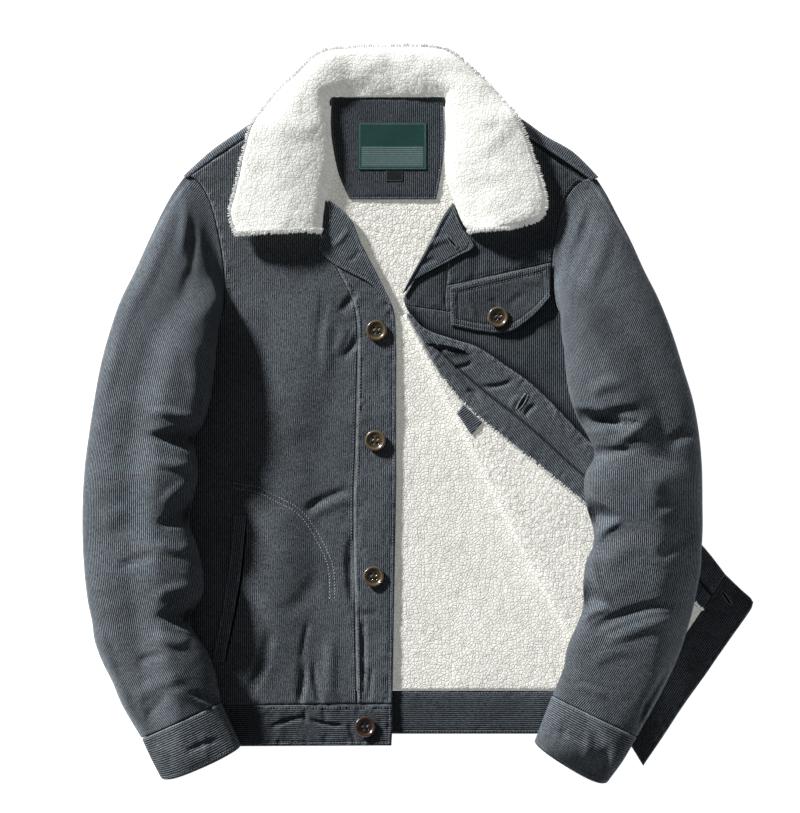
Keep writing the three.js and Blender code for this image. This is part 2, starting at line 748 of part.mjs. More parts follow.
// The wearer's right front.
const rightFront = frontPlace(FRONT_RIGHT, ['side', 'seam', 'edge'], frontUnder, SLEEVE_RIGHT, 1);
const rightSections = spread(0, 1, 28);
add('front_right', wall(rightFront, rightSections, spread(0, 1 - SEAM_SHARE, 9), 0, FRONT), CORDUROY);
add('placket_right', wall(rightFront, rightSections, spread(1, 2, 2), 0, FRONT), CORDUROY);
const waistRight = between(WAISTBAND_RIGHT, ['left', 'right'], frontUnder);
add('waistband_right', wall(waistRight, spread(0, 1, 3), spread(0, 1, 14), 0, FRONT), CORDUROY);
const weltPlace = level(WELT_RIGHT, frontUnder);
const weltLow = FRONT + WELT_LIFT;
add('welt_right', wall(weltPlace, spread(0, 1, 12), [0, 0.5, 1], weltLow, weltLow + WELT_THICK), CORDUROY);
const flatFront = () => FRONT_TOP;
const lapelRight = between(LAPEL_RIGHT, ['in', 'out'], flatFront);
const lapelTop = LAPEL_LIFT + SHELL;
add('lapel_right', wall(lapelRight, spread(0, 1, 12), spread(0, 1, 4), LAPEL_LIFT, lapelTop), CORDUROY);

// The wearer's left front where it faces up.
const leftFront = frontPlace(FRONT_LEFT, ['edge', 'seam', 'side'], flatUnder, SLEEVE_LEFT, -1);
const lastSection = FRONT_LEFT.length - 1;
const yokeEnd = YOKE_SECTION / lastSection;
const yokeSections = spread(0, yokeEnd, 10);
const chestSections = spread(yokeEnd, 1, 20);
chestSections[0] += YOKE_SEAM_SHARE;
const placketSections = [...yokeSections.slice(0, -1), ...chestSections.slice(0, 3)];
add('placket_left', wall(leftFront, placketSections, [0, 0.5, 1 - PLACKET_SEAM_SHARE], 0, FRONT), CORDUROY);
add('front_left_yoke', wall(leftFront, yokeSections, spread(1 + SEAM_SHARE, 2, 5), 0, FRONT), CORDUROY);
const chestSide = wall(leftFront, chestSections, spread(1 + SEAM_SHARE, 2, 8), 0, FRONT);
const underTurnSections = chestSections.slice(2);
underTurnSections[0] += SEAM_SHARE;
const chestTurn = wall(leftFront, underTurnSections, [0, 0.5, 1.05], 0, FRONT);
const chest = manifold(chestSide).add(manifold(chestTurn));

// The turned-back part: the shell goes round the turn under its lining, so the two walls of the
// front are one piece.
const turned = between(TURNED, ['turn', 'facing', 'edge'], turnedUnder);
const roundShare = 0.1;
const joinShare = 0.2;
function turnedPlace(u, v) {
  const row = rowAt(TURNED, u);
  const width = Math.hypot(row.facing_x - row.turn_x, row.facing_y - row.turn_y);
  const round = Math.min(TURN_ROUND / width, 0.35);
  const join = Math.min((2 * TURN_ROUND) / width, 0.65);
  if (v < roundShare) return turned(u, (v / roundShare) * round);
  if (v < joinShare) return turned(u, lerp(round, join, (v - roundShare) / (joinShare - roundShare)));
  return turned(u, v < 1 ? lerp(join, 1, (v - joinShare) / (1 - joinShare)) : v);
}
const turnedSections = spread(0.03, 1, 22);
const turnedColumns = [0.4, 0.6, 0.8, 0.99];
const facingColumns = [1, 1.5, 2];
const foldDown = FRONT_UNDER - TURNED_UNDER;
const shellLow = (u, v) => (v <= joinShare ? foldDown + 1 : 0);
const shellColumns = [roundShare + 0.005, joinShare, joinShare + 0.01, ...turnedColumns, ...facingColumns];
const turnedShell = wall(turnedPlace, turnedSections, shellColumns, shellLow, TURNED_SHELL);
add('front_left', geometryOf(chest.add(manifold(turnedShell))), CORDUROY);
const pileLow = (u, v) => (v > roundShare ? TURNED_PILE_UNDER : foldDown + (v === 0 ? 3 : 0));
const pileHigh = (u, v) => (v === 0 ? TURNED_THICK - 3 : TURNED_THICK);
const pileColumns = [0, 0.035, roundShare, roundShare + 0.003, joinShare, ...turnedColumns];
add('front_left_lining', wall(turnedPlace, turnedSections, pileColumns, pileLow, pileHigh), SHERPA);
const facing = wall(turnedPlace, turnedSections, facingColumns, TURNED_PILE_UNDER, TURNED_THICK);
add('front_left_facing', facing, CORDUROY);
const tabLow = TURNED_THICK + GAP;
const tabTop = tabLow + INSIDE_TAB_THICK;
add('inside_tab', wall(turnedPlace, [0.29, 0.32, 0.35], [0.35, 0.65, 0.97], tabLow, tabTop), CORDUROY);
const waistLeft = between(WAISTBAND_LEFT, ['turn', 'edge'], turnedUnder);
add('waistband_left', wall(waistLeft, spread(0, 1, 3), spread(0, 1, 10), 0, TURNED_THICK), CORDUROY);

const flapRows = POCKET_FLAP.map((row) => ({ in_x: row.x, in_y: row.top, out_x: row.x, out_y: row.bottom }));
const flapPlace = between(flapRows, ['in', 'out'], flatFront);
const flapLift = (u, v) => LAYER_GAP + FLAP_LIFT * v ** 2 * smoothstep(u, 0.2, 1);
const flapTop = (u, v) => flapLift(u, v) + SHELL;
add('pocket_flap', wall(flapPlace, spread(0, 1, 10), spread(0, 1, 4), flapLift, flapTop), CORDUROY);
const lapelLeft = between(LAPEL_LEFT, ['in', 'out'], flatFront);
add('lapel_left', wall(lapelLeft, spread(0, 1, 12), spread(0, 1, 4), LAPEL_LIFT, lapelTop), CORDUROY);

for (const [name, rows] of [['shoulder_right', SHOULDER_RIGHT], ['shoulder_left', SHOULDER_LEFT]]) {
  const strip = between(rows, ['seam', 'fold'], () => 0);
  const place = (u, v) => strip(u, SHOULDER_SECTION[v].along);
  const columns = SHOULDER_SECTION.map((_, i) => i);
  const under = (u, v) => SHOULDER_SECTION[v].under;
  const top = (u, v) => SHOULDER_SECTION[v].top;
  add(name, wall(place, spread(0, 1, 8), columns, under, top), CORDUROY);
}

add('collar', collar(), SHERPA, 1);

add('sleeve_right', sleeve(SLEEVE_RIGHT, SLEEVE_WALL, SLEEVE_RIGHT_WEDGES), CORDUROY);
add('sleeve_left', sleeve(SLEEVE_LEFT, SLEEVE_WALL, SLEEVE_LEFT_WEDGES), CORDUROY);
add('cuff_right', sleeve(CUFF_RIGHT, CUFF_WALL, []), CORDUROY);
add('cuff_left', sleeve(CUFF_LEFT, CUFF_WALL, []), CORDUROY);

const buttonNames = ['button_top', 'button_middle', 'button_bottom', 'button_waistband', 'button_pocket'];
BUTTONS.forEach((row, i) => {
  const mesh = add(buttonNames[i], button(), HORN, 0.4);
  const tilt = degToRad(row.tilt);
  const under = row.x > 0 ? FRONT_TOP + FLAP_BUTTON_LIFT : frontUnder(row.x, row.y) + FRONT;
  mesh.position.set(row.x, row.y, under + 0.5 + BUTTON_RADIUS * Math.abs(Math.sin(tilt)));
  mesh.rotation.y = tilt;
});

export default jacket;
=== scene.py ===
import math

import bmesh
import bpy
import mathutils
import numpy as np
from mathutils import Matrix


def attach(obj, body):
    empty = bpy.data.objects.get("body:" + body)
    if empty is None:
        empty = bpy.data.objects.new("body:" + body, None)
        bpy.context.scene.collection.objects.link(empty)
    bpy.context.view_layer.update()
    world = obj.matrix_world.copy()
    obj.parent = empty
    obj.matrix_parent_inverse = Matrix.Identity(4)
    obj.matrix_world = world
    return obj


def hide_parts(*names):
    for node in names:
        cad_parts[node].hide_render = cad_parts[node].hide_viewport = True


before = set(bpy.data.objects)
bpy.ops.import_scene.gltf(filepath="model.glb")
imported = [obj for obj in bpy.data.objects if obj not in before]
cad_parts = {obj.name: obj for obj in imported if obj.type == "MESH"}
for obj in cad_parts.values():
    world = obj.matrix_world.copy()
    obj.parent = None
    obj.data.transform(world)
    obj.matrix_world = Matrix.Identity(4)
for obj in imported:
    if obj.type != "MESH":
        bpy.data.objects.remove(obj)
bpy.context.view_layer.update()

# The studio: a pale floor under the jacket, a soft key light low at the upper left, a weak light
# from all round, a small card that throws light back on the turned waistband, and a camera
# straight above that frames the jacket as it is laid out.
CAMERA_OVER = (-0.021, 0.0089)
CAMERA_HEIGHT = 7.03
CAMERA_LENS = 300
CAMERA_SENSOR = 36
KEY_ELEVATION = 21.5
KEY_BEARING = 136
KEY_STRENGTH = 7.4
KEY_SOFTNESS = 7
FILL_STRENGTH = 0.125
BOUNCE_STRENGTH = 3
BOUNCE_CONE = 24
BOUNCE_FROM = (0.72, -0.62, 0.42)
BOUNCE_TO = (0.3, -0.262, 0)
FLOOR_WIDTH = 6
FLOOR_GLOW = 0.98

camera_data = bpy.data.cameras.new("camera")
camera_data.lens = CAMERA_LENS
camera_data.sensor_fit = "HORIZONTAL"
camera_data.sensor_width = CAMERA_SENSOR
camera_data.clip_end = 30
camera = bpy.data.objects.new("camera", camera_data)
camera.location = (*CAMERA_OVER, CAMERA_HEIGHT)
bpy.context.scene.collection.objects.link(camera)
bpy.context.scene.camera = camera
bpy.context.scene.view_settings.view_transform = "Standard"

key_data = bpy.data.lights.new("key", "SUN")
key_data.energy = KEY_STRENGTH
key_data.angle = math.radians(KEY_SOFTNESS)
key = bpy.data.objects.new("key", key_data)
key.rotation_euler = (math.radians(90 - KEY_ELEVATION), 0, math.radians(KEY_BEARING + 90))
bpy.context.scene.collection.objects.link(key)

bounce_data = bpy.data.lights.new("bounce", "SPOT")
bounce_data.energy = BOUNCE_STRENGTH
bounce_data.spot_size = math.radians(BOUNCE_CONE)
bounce_data.spot_blend = 1
bounce_data.shadow_soft_size = 0.08
bounce = bpy.data.objects.new("bounce", bounce_data)
bounce.location = BOUNCE_FROM
bounce_way = mathutils.Vector(BOUNCE_TO) - mathutils.Vector(BOUNCE_FROM)
bounce.rotation_euler = bounce_way.to_track_quat("-Z", "Y").to_euler()
bpy.context.scene.collection.objects.link(bounce)

world = bpy.data.worlds.new("studio")
world.use_nodes = True
world.node_tree.nodes["Background"].inputs["Color"].default_value = (0.94, 0.97, 1, 1)
world.node_tree.nodes["Background"].inputs["Strength"].default_value = FILL_STRENGTH
bpy.context.scene.world = world

floor_mesh = bpy.data.meshes.new("floor")
corner = FLOOR_WIDTH / 2
floor_mesh.from_pydata(
    [(-corner, -corner, 0), (corner, -corner, 0), (corner, corner, 0), (-corner, corner, 0)],
    [],
    [(0, 1, 2, 3)],
)
floor = bpy.data.objects.new("floor", floor_mesh)
floor.location.z = -0.0004
bpy.context.scene.collection.objects.link(floor)
floor_paint = bpy.data.materials.new("floor_paint")
floor_paint.use_nodes = True
floor_shader = floor_paint.node_tree.nodes["Principled BSDF"]
floor_shader.inputs["Base Color"].default_value = (0.5, 0.5, 0.5, 1)
floor_shader.inputs["Roughness"].default_value = 1
floor_shader.inputs["Emission Color"].default_value = (1, 1, 1, 1)
floor_shader.inputs["Emission Strength"].default_value = FLOOR_GLOW
floor_mesh.materials.append(floor_paint)

# The back: one cut of fine corduroy that lies face down on the floor, with its armholes hollowed
# out at both sides. Sizes are in millimetres, Y up to the collar and Z up from the floor.
MM = 0.001
GAP = 0.3
LAYER_GAP = 0.4
SHELL = 2.4
WALE = 2.1
ARMHOLE_GAP = 0.5
ARMHOLE_TUCK = 4
ARMHOLE_TOP = 8
AROUND_SLEEVE = 144
SLEEVE_EDGE = 0.34
SLEEVE_SIDE_POWER = 0.85
SLEEVE_TOP_POWER = 0.8
SHOULDER_BOW = 0.35
SOFT_STEPS = (0, 0.35, 1.1, 2.4)
INNER_STEP = 3


def table(names, rows):
    """Columns of sizes by name, from a row for each section or fold."""
    return dict(zip(names.split(), np.array(rows, float).T))


def row_at(rows, place):
    """Smooth rows of a table, at places from 0, its first row, to 1, its last."""
    place = np.asarray(place, float)
    last = len(next(iter(rows.values()))) - 1
    spot = np.clip(place, 0, 1) * last
    first = np.minimum(spot.astype(int), last - 1)
    t = spot - first
    smooth = {}
    for name, values in rows.items():
        a, b, c, d = (values[np.clip(first + step, 0, last)] for step in (-1, 0, 1, 2))
        smooth[name] = b + 0.5 * t * (c - a + t * (2 * a - 5 * b + 4 * c - d + t * (3 * (b - c) + d - a)))
    return smooth


def lerp(a, b, share):
    return a + (b - a) * share


def ease(value, low, high):
    share = np.clip((value - low) / (high - low), 0, 1)
    return share * share * (3 - 2 * share)


def eased(count, length):
    """Shares from 0 to 1 of a length, closer together by both ends, where the cut edge is soft."""
    near = np.array(SOFT_STEPS) / length
    between = np.linspace(near[-1], 1 - near[-1], count)
    return np.concatenate([near[:-1], between, 1 - near[-2::-1]])


def net(rows, columns):
    return np.meshgrid(rows, columns, indexing="ij")


def run_along(points, axis):
    """How far each point of a net lies along its row or column, and how long that is."""
    steps = np.linalg.norm(np.diff(points, axis=axis), axis=-1)
    start = np.zeros_like(np.take(steps, [0], axis=axis))
    run = np.concatenate([start, np.cumsum(steps, axis=axis)], axis=axis)
    return run, np.take(run, [-1], axis=axis)


def border_depth(points, closed=False):
    """How far each point of a net lies in from its nearest border."""
    run, whole = run_along(points, 0)
    depth = np.minimum(run, whole - run)
    if not closed:
        run, whole = run_along(points, 1)
        depth = np.minimum(depth, np.minimum(run, whole - run))
    return depth


def soften(outer, inner, closed=False):
    """Both faces of a cloth, drawn together along its borders so that the edges are round."""
    middle = (outer + inner) / 2
    half = (outer - inner) / 2
    reach = np.maximum(np.linalg.norm(half, axis=-1), 0.3)
    depth = border_depth(middle, closed)
    share = np.sqrt(np.clip(1 - (1 - np.clip(depth / reach, 0, 1)) ** 2, 0.04, 1))[..., None]
    return middle + half * share, middle - half * share


def flat_cloth(x, y, low, high):
    """A cloth's two faces from the heights of its underside and its top."""
    low, high = (np.broadcast_to(face, x.shape) for face in (low, high))
    return soften(np.stack([x, y, high], -1), np.stack([x, y, low], -1))


def noise(x, y, size, seed):
    """Soft seeded hills and hollows of about one size, from -1 to 1."""
    lattice = np.random.default_rng(seed).random((64, 64)) * 2 - 1
    u, v = x / size, y / size
    i, j = np.floor(u).astype(int), np.floor(v).astype(int)
    s, t = ease(u - i, 0, 1), ease(v - j, 0, 1)
    corners = [lattice[(i + a) % 64, (j + b) % 64] for a, b in ((0, 0), (1, 0), (0, 1), (1, 1))]
    return lerp(lerp(corners[0], corners[1], s), lerp(corners[2], corners[3], s), t)


def ripple(x, y, seed, high=0.5):
    """The small unevenness of laid cloth."""
    return high * (noise(x, y, 37, seed) + 0.5 * noise(x, y, 16, seed + 1) + 0.22 * noise(x, y, 7, seed + 2))


def wale_map(x, y, grain):
    """Places across and along the wales, which run at an angle in degrees."""
    turn = math.radians(grain)
    return np.stack([x * math.sin(turn) - y * math.cos(turn), x * math.cos(turn) + y * math.sin(turn)], -1)


def wrapped(rows, columns, closed):
    """Faces of a cloth whose outer face is fine and whose inner face is plainer, with the strips
    that join the two round the borders, and which points the inner face keeps."""
    near, side = (np.unique(np.append(np.arange(0, n, INNER_STEP), n - 1)) for n in (rows, columns))
    at = np.arange(rows * columns).reshape(rows, columns)
    under = at.size + np.arange(len(near) * len(side)).reshape(len(near), len(side))
    fine = np.stack([at[:-1, :-1], at[:-1, 1:], at[1:, 1:], at[1:, :-1]], -1).reshape(-1, 4)
    plain = np.stack([under[:-1, :-1], under[1:, :-1], under[1:, 1:], under[:-1, 1:]], -1).reshape(-1, 4)
    borders = [(at[0, ::-1], under[0, ::-1], side), (at[-1], under[-1], side)]
    if not closed:
        borders += [(at[:, 0], under[:, 0], near), (at[::-1, -1], under[::-1, -1], near)]
    strips = []
    for edge, facing, kept in borders:
        stops = kept if edge[0] < edge[-1] else edge.size - 1 - kept[::-1]
        for k in range(len(stops) - 1):
            run = edge[stops[k]:stops[k + 1] + 1]
            strips.append([*run.tolist(), int(facing[k + 1]), int(facing[k])])
    return np.concatenate([fine, plain]), strips, np.ix_(near, side)


def piece(name, cloths, material):
    """A mesh from one or more cloths, each with two faces joined round their borders. The place
    on the weave and the named values go with the points."""
    # Of these values, dark is a mask of painted shade, and wear also carries painted highlights.
    points, quads, strips, weave, values = [], [], [], [], {"pile": [], "wear_and_highlight": [], "dark": []}
    count = 0
    for cloth in cloths:
        outer, inner = cloth["faces"]
        flat, sides, kept = wrapped(*outer.shape[:2], cloth.get("closed"))
        across = np.cross(outer[1:, 1:] - outer[:-1, :-1], outer[1:, :-1] - outer[:-1, 1:])
        if (across * (outer - inner)[:-1, :-1]).sum() < 0:
            flat, sides = flat[:, ::-1], [side[::-1] for side in sides]
        quads.append(flat + count)
        strips += [[corner + count for corner in side] for side in sides]
        points += [outer.reshape(-1, 3), inner[kept].reshape(-1, 3)]
        weave += [cloth["weave"].reshape(-1, 2), cloth["weave"][kept].reshape(-1, 2)]
        for value, found in values.items():
            given = np.broadcast_to(cloth.get(value, 0), outer.shape[:2])
            found += [given.reshape(-1), given[kept].reshape(-1)]
        count = sum(map(len, points))
    quads, weave = np.concatenate(quads), np.concatenate(weave) * MM
    mesh = bpy.data.meshes.new(name)
    mesh.from_pydata((np.concatenate(points) * MM).tolist(), [], quads.tolist() + strips)
    mesh.polygons.foreach_set("use_smooth", np.ones(len(mesh.polygons), bool))
    corners = np.concatenate([quads.reshape(-1), *strips])
    mesh.uv_layers.new(name="weave").data.foreach_set("uv", weave[corners].reshape(-1))
    for value, found in values.items():
        attribute = mesh.attributes.new(value, "FLOAT", "POINT")
        attribute.data.foreach_set("value", np.concatenate(found))
    if any(cloth.get("closed") for cloth in cloths):
        weld(mesh)
    mesh.materials.append(material)
    made = bpy.data.objects.new(name, mesh)
    bpy.context.scene.collection.objects.link(made)
    return made


def weld(mesh):
    """Joins the seam of a cloth that wraps round."""
    edit = bmesh.new()
    edit.from_mesh(mesh)
    bmesh.ops.remove_doubles(edit, verts=edit.verts, dist=1e-6)
    edit.to_mesh(mesh)
    edit.free()


def dress(made, slot, *nodes):
    """Hangs a piece on the jacket in place of its plain solids, which it hides. The slot is not used."""
    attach(made, "root")
    if nodes:
        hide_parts(*nodes)


def add(tree, kind, inputs=None, **settings):
    """A node with its settings, and its inputs as numbers or as sockets to link."""
    made = tree.nodes.new(kind)
    for name, value in settings.items():
        setattr(made, name, value)
    for socket, value in (inputs or {}).items():
        if isinstance(value, bpy.types.NodeSocket):
            tree.links.new(value, made.inputs[socket])
        else:
            made.inputs[socket].default_value = value
    return made


def sums(tree, operation, *terms):
    return add(tree, "ShaderNodeMath", dict(enumerate(terms)), operation=operation).outputs[0]


def span(tree, value, low, high, to_low, to_high):
    inputs = {"Value": value, "From Min": low, "From Max": high, "To Min": to_low, "To Max": to_high}
    return add(tree, "ShaderNodeMapRange", inputs).outputs[0]


def mixed(tree, share, a, b, blend="MIX"):
    made = add(tree, "ShaderNodeMix", data_type="RGBA", blend_type=blend)
    for socket, value in ((0, share), (6, a), (7, b)):
        if isinstance(value, bpy.types.NodeSocket):
            tree.links.new(value, made.inputs[socket])
        else:
            made.inputs[socket].default_value = value
    return made.outputs[2]


def speckle(tree, place, scale, detail=2.0):
    inputs = {"Vector": place, "Scale": scale, "Detail": detail, "Roughness": 0.55}
    return add(tree, "ShaderNodeTexNoise", inputs).outputs[0]


def group(name, inputs, outputs):
    """An empty node group, with its ends and its named sockets."""
    tree = bpy.data.node_groups.new(name, "ShaderNodeTree")
    for socket, kind, value in inputs:
        made = tree.interface.new_socket(socket, in_out="INPUT", socket_type=kind)
        if value is not None:
            made.default_value = value
    for socket, kind in outputs:
        tree.interface.new_socket(socket, in_out="OUTPUT", socket_type=kind)
    return tree, tree.nodes.new("NodeGroupInput").outputs, tree.nodes.new("NodeGroupOutput").inputs


def wale_group():
    """Corduroy: round ribs of cut pile with near-black grooves between them, partly the cloth's darker ground and
    partly painted shade, nap that lies in short strokes along each rib, patches where it is brushed, pale rubbed edges
    that also carry painted highlights, and painted shade where a piece's mask darkens it towards the groove colour."""
    colors, value, vector = "NodeSocketColor", "NodeSocketFloat", "NodeSocketVector"
    tree, given, out = group(
        "wales",
        [
            ("Weave", vector, None),
            ("Pitch", value, WALE * MM),
            ("Ridge", colors, (0.2, 0.2, 0.2, 1)),
            ("Groove", colors, (0.02, 0.02, 0.02, 1)),
            ("WearAndHighlight", value, 0.0),
            ("PaintedShade", value, 0.0),
        ],
        [("Color", colors), ("Height", value), ("Roughness", value)],
    )
    place = given["Weave"]
    apart = add(tree, "ShaderNodeSeparateXYZ", {0: place}).outputs
    wander = sums(tree, "MULTIPLY", span(tree, speckle(tree, place, 90), 0, 1, -0.5, 0.5), 0.0011)
    across = sums(tree, "ADD", apart[0], wander)
    turns = sums(tree, "DIVIDE", across, given["Pitch"])
    off = sums(tree, "ABSOLUTE", sums(tree, "SUBTRACT", sums(tree, "FRACT", turns), 0.5))
    rib = sums(tree, "SUBTRACT", 1.0, sums(tree, "POWER", sums(tree, "MULTIPLY", off, 2.0), 1.7))
    stroke = add(
        tree,
        "ShaderNodeCombineXYZ",
        {0: sums(tree, "MULTIPLY", turns, 1.3), 1: sums(tree, "MULTIPLY", apart[1], 300.0)},
    ).outputs[0]
    nap = span(tree, speckle(tree, stroke, 1.0, 1.5), 0.3, 0.7, 0.5, 1.3)
    shade = sums(tree, "MULTIPLY", sums(tree, "POWER", rib, 2.2), nap)
    color = mixed(tree, shade, given["Groove"], given["Ridge"])
    brushed = span(tree, speckle(tree, place, 14, 4.0), 0.3, 0.7, 0.84, 1.18)
    crushed = span(tree, speckle(tree, place, 95, 3.0), 0.3, 0.7, 0.9, 1.12)
    level = sums(tree, "MULTIPLY", brushed, crushed)
    grey = add(tree, "ShaderNodeCombineXYZ", {0: level, 1: level, 2: level}).outputs[0]
    color = mixed(tree, 1.0, color, grey, "MULTIPLY")
    # The wear values, with the sleeves' painted highlights, make the rib paler.
    rubbed_and_highlight = sums(tree, "MULTIPLY", given["WearAndHighlight"], span(tree, speckle(tree, place, 160), 0.3, 0.7, 0.1, 0.9))
    pale = mixed(tree, 1.0, given["Ridge"], (1.7, 1.7, 1.7, 1), "MULTIPLY")
    color = mixed(tree, rubbed_and_highlight, color, pale)
    # The dark mask paints shade: it draws the colour towards the near-black groove.
    tree.links.new(mixed(tree, given["PaintedShade"], color, given["Groove"]), out["Color"])
    tree.links.new(sums(tree, "ADD", rib, sums(tree, "MULTIPLY", nap, 0.25)), out["Height"])
    tree.links.new(span(tree, shade, 0, 1, 0.98, 0.84), out["Roughness"])
    return tree


WALES = wale_group()
RIDGE = (0.172, 0.197, 0.22)
# The near-black groove colour is partly the cloth's darker ground and partly painted shade in the grooves between the
# ribs.
GROOVE = (0.004, 0.005, 0.007, 1)


def corduroy(name, level=1.0, relief=0.45):
    """The blue-grey cotton corduroy, by how light its colour is and how deep its ribs are in mm."""
    made = bpy.data.materials.new(name)
    made.use_nodes = True
    tree = made.node_tree
    shader = tree.nodes["Principled BSDF"]
    weave = add(tree, "ShaderNodeUVMap", uv_map="weave").outputs[0]
    wear_and_highlight = add(tree, "ShaderNodeAttribute", attribute_name="wear_and_highlight").outputs["Fac"]
    ribs = add(tree, "ShaderNodeGroup", node_tree=WALES)
    tree.links.new(weave, ribs.inputs["Weave"])
    tree.links.new(wear_and_highlight, ribs.inputs["WearAndHighlight"])
    # The dark attribute is a mask of painted shade.
    tree.links.new(add(tree, "ShaderNodeAttribute", attribute_name="dark").outputs["Fac"], ribs.inputs["PaintedShade"])
    ribs.inputs["Pitch"].default_value = WALE * MM
    ribs.inputs["Ridge"].default_value = (*(level * part for part in RIDGE), 1)
    ribs.inputs["Groove"].default_value = GROOVE
    bump = add(tree, "ShaderNodeBump", {"Height": ribs.outputs["Height"], "Distance": relief * MM})
    tree.links.new(bump.outputs[0], shader.inputs["Normal"])
    tree.links.new(ribs.outputs["Color"], shader.inputs["Base Color"])
    tree.links.new(ribs.outputs["Roughness"], shader.inputs["Roughness"])
    shader.inputs["Specular IOR Level"].default_value = 0.12
    shader.inputs["Sheen Weight"].default_value = 0.12
    shader.inputs["Sheen Roughness"].default_value = 0.45
    shader.inputs["Sheen Tint"].default_value = (0.75, 0.82, 0.92, 1)
    return made


CORDUROY = corduroy("corduroy")
# A darker copy of the same corduroy: painted shade for the pieces that lie in shadow.
CORDUROY_SHADED = corduroy("corduroy_shaded", 0.62)
CORDUROY_SLEEVE = corduroy("corduroy_sleeve", 1.1, 0.75)

SLEEVE_COLUMNS = "outer_x outer_y inner_x inner_y bow high"
SLEEVE_RIGHT = table(SLEEVE_COLUMNS, [
    (-248, 251, -211, 104, 19, 16),
    (-260, 234, -213, 93, 14, 24),
    (-272, 212, -213, 81, 9, 33),
    (-286, 182, -214, 70, 5, 41),
    (-301, 149, -215, 56, 2, 46),
    (-316, 118, -217, 40, 0, 49),
    (-328, 82, -219, 22, 0, 51),
    (-337, 47, -223, 5, 0, 52),
    (-344, 7, -228, -10, 0, 53),
    (-349, -26, -237, -26, 0, 50),
    (-352, -49, -234, -49, 0, 52),
    (-354, -74, -233, -66, 0, 53),
    (-355, -100, -239, -91, 0, 51),
    (-355, -126, -242, -114, 0, 50),
    (-354, -150, -233, -140, 0, 51),
    (-352, -175, -228, -165, 0, 52),
    (-349, -198, -228, -188, 0, 50),
    (-345, -217, -242, -212, 0, 47),
    (-342, -238, -237, -228, 0, 47),
    (-334, -260, -226, -244, 0, 46),
    (-323, -282, -218, -261, 0, 45),
    (-313, -306, -213, -280, 0, 42),
    (-293, -340, -209, -301, 0, 36),
])
SLEEVE_LEFT = table(SLEEVE_COLUMNS, [
    (186, 249, 148, 111, 25, 16),
    (196, 233, 151, 97, 18, 24),
    (208, 210, 150, 82, 13, 33),
    (222, 183, 152, 66, 7, 41),
    (236, 152, 153, 48, 3, 46),
    (251, 122, 155, 31, 0, 49),
    (265, 87, 159, 13, 0, 51),
    (277, 49, 166, -5, 0, 52),
    (287, 16, 178, -26, 0, 51),
    (293, -16, 183, -43, 0, 50),
    (296, -45, 174, -60, 0, 52),
    (297, -70, 172, -77, 0, 53),
    (297, -96, 175, -98, 0, 52),
    (297, -119, 182, -121, 0, 50),
    (296, -140, 181, -138, 0, 50),
    (295, -161, 174, -154, 0, 51),
    (291, -184, 171, -177, 0, 51),
    (286, -207, 171, -201, 0, 49),
    (280, -228, 165, -219, 0, 48),
    (272, -252, 155, -242, 0, 47),
    (260, -278, 151, -264, 0, 45),
    (247, -303, 145, -280, 0, 42),
    (228, -337, 139, -294, 0, 36),
])
BACK = table("y left right", [
    (335, -107, 37),
    (322, -145, 76),
    (308, -173, 105),
    (289, -202, 139),
    (268, -230, 166),
    (251, -244, 182),
    (236, -236, 160),
    (215, -221, 145),
    (192, -210, 141),
    (165, -207, 141),
    (138, -208, 142),
    (114, -214, 147),
    (91, -225, 163),
    (58, -244, 186),
    (16, -256, 204),
    (-37, -262, 218),
    (-89, -265, 228),
    (-152, -262, 233),
    (-215, -257, 234),
    (-257, -251, 233),
    (-290, -244, 232),
])


def ring_plan(row, turn, inset, way):
    """The plan of a sleeve's ring, at angles round it, and how far up or down each point is."""
    half_x = (row["outer_x"] - row["inner_x"]) / 2
    half_y = (row["outer_y"] - row["inner_y"]) / 2
    length = np.hypot(half_x, half_y)
    bow_x, bow_y = -half_y / length, half_x / length
    towards = np.where(bow_x * way[0] + bow_y * way[1] < 0, -1, 1)
    lift = np.sin(turn)
    side = np.sign(np.cos(turn)) * np.abs(np.cos(turn)) ** SLEEVE_SIDE_POWER * (1 - inset / length)
    bow = row["bow"] * np.abs(lift) * (1 + SHOULDER_BOW * np.cos(turn)) * towards
    x = (row["outer_x"] + row["inner_x"]) / 2 + half_x * side + bow_x * bow
    y = (row["outer_y"] + row["inner_y"]) / 2 + half_y * side + bow_y * bow
    return x, y, lift


def sleeve_way(rows):
    return rows["outer_x"][0] - rows["outer_x"][-1], rows["outer_y"][0] - rows["outer_y"][-1]


def armhole(rows):
    """The seam of an armhole on the body, as heights up the body with how far out it runs."""
    turn = np.arange(AROUND_SLEEVE // 2 + 1) * 2 * math.pi / AROUND_SLEEVE
    x, y, _ = ring_plan({name: values[0] for name, values in rows.items()}, turn, 0, sleeve_way(rows))
    order = np.argsort(y)
    return y[order], x[order]


def armhole_x(rows, y, outside):
    heights, out = armhole(rows)
    return np.interp(y, heights, out, left=outside, right=outside)


u, v = net(eased(110, 625), eased(60, 470))
row = row_at(BACK, u)
left = armhole_x(SLEEVE_RIGHT, row["y"], np.nan) - ARMHOLE_TUCK
right = armhole_x(SLEEVE_LEFT, row["y"], np.nan) + ARMHOLE_TUCK
left = np.where(np.isnan(left), row["left"], left)
right = np.where(np.isnan(right), row["right"], right)
x, y = lerp(left, right, v), row["y"]
back = piece("back_cloth", [{"faces": flat_cloth(x, y, 0, SHELL), "weave": wale_map(x, y, 90)}], CORDUROY)
dress(back, "corduroy", "back")

# The back's lining: white sherpa fleece, cut smaller than the back and laid on it, with a pile of
# close round curls that stand about two millimetres high.
PILE = 5.2
LINING_INSET = 42
LINING_UNDER = SHELL + LAYER_GAP
LINING_TOP = LINING_UNDER + PILE
CURL = 6.5
CURL_HIGH = 1.3
# The fleece's glow is painted light: it brightens the fleece's shaded parts.
FLEECE_GLOW = 0.38


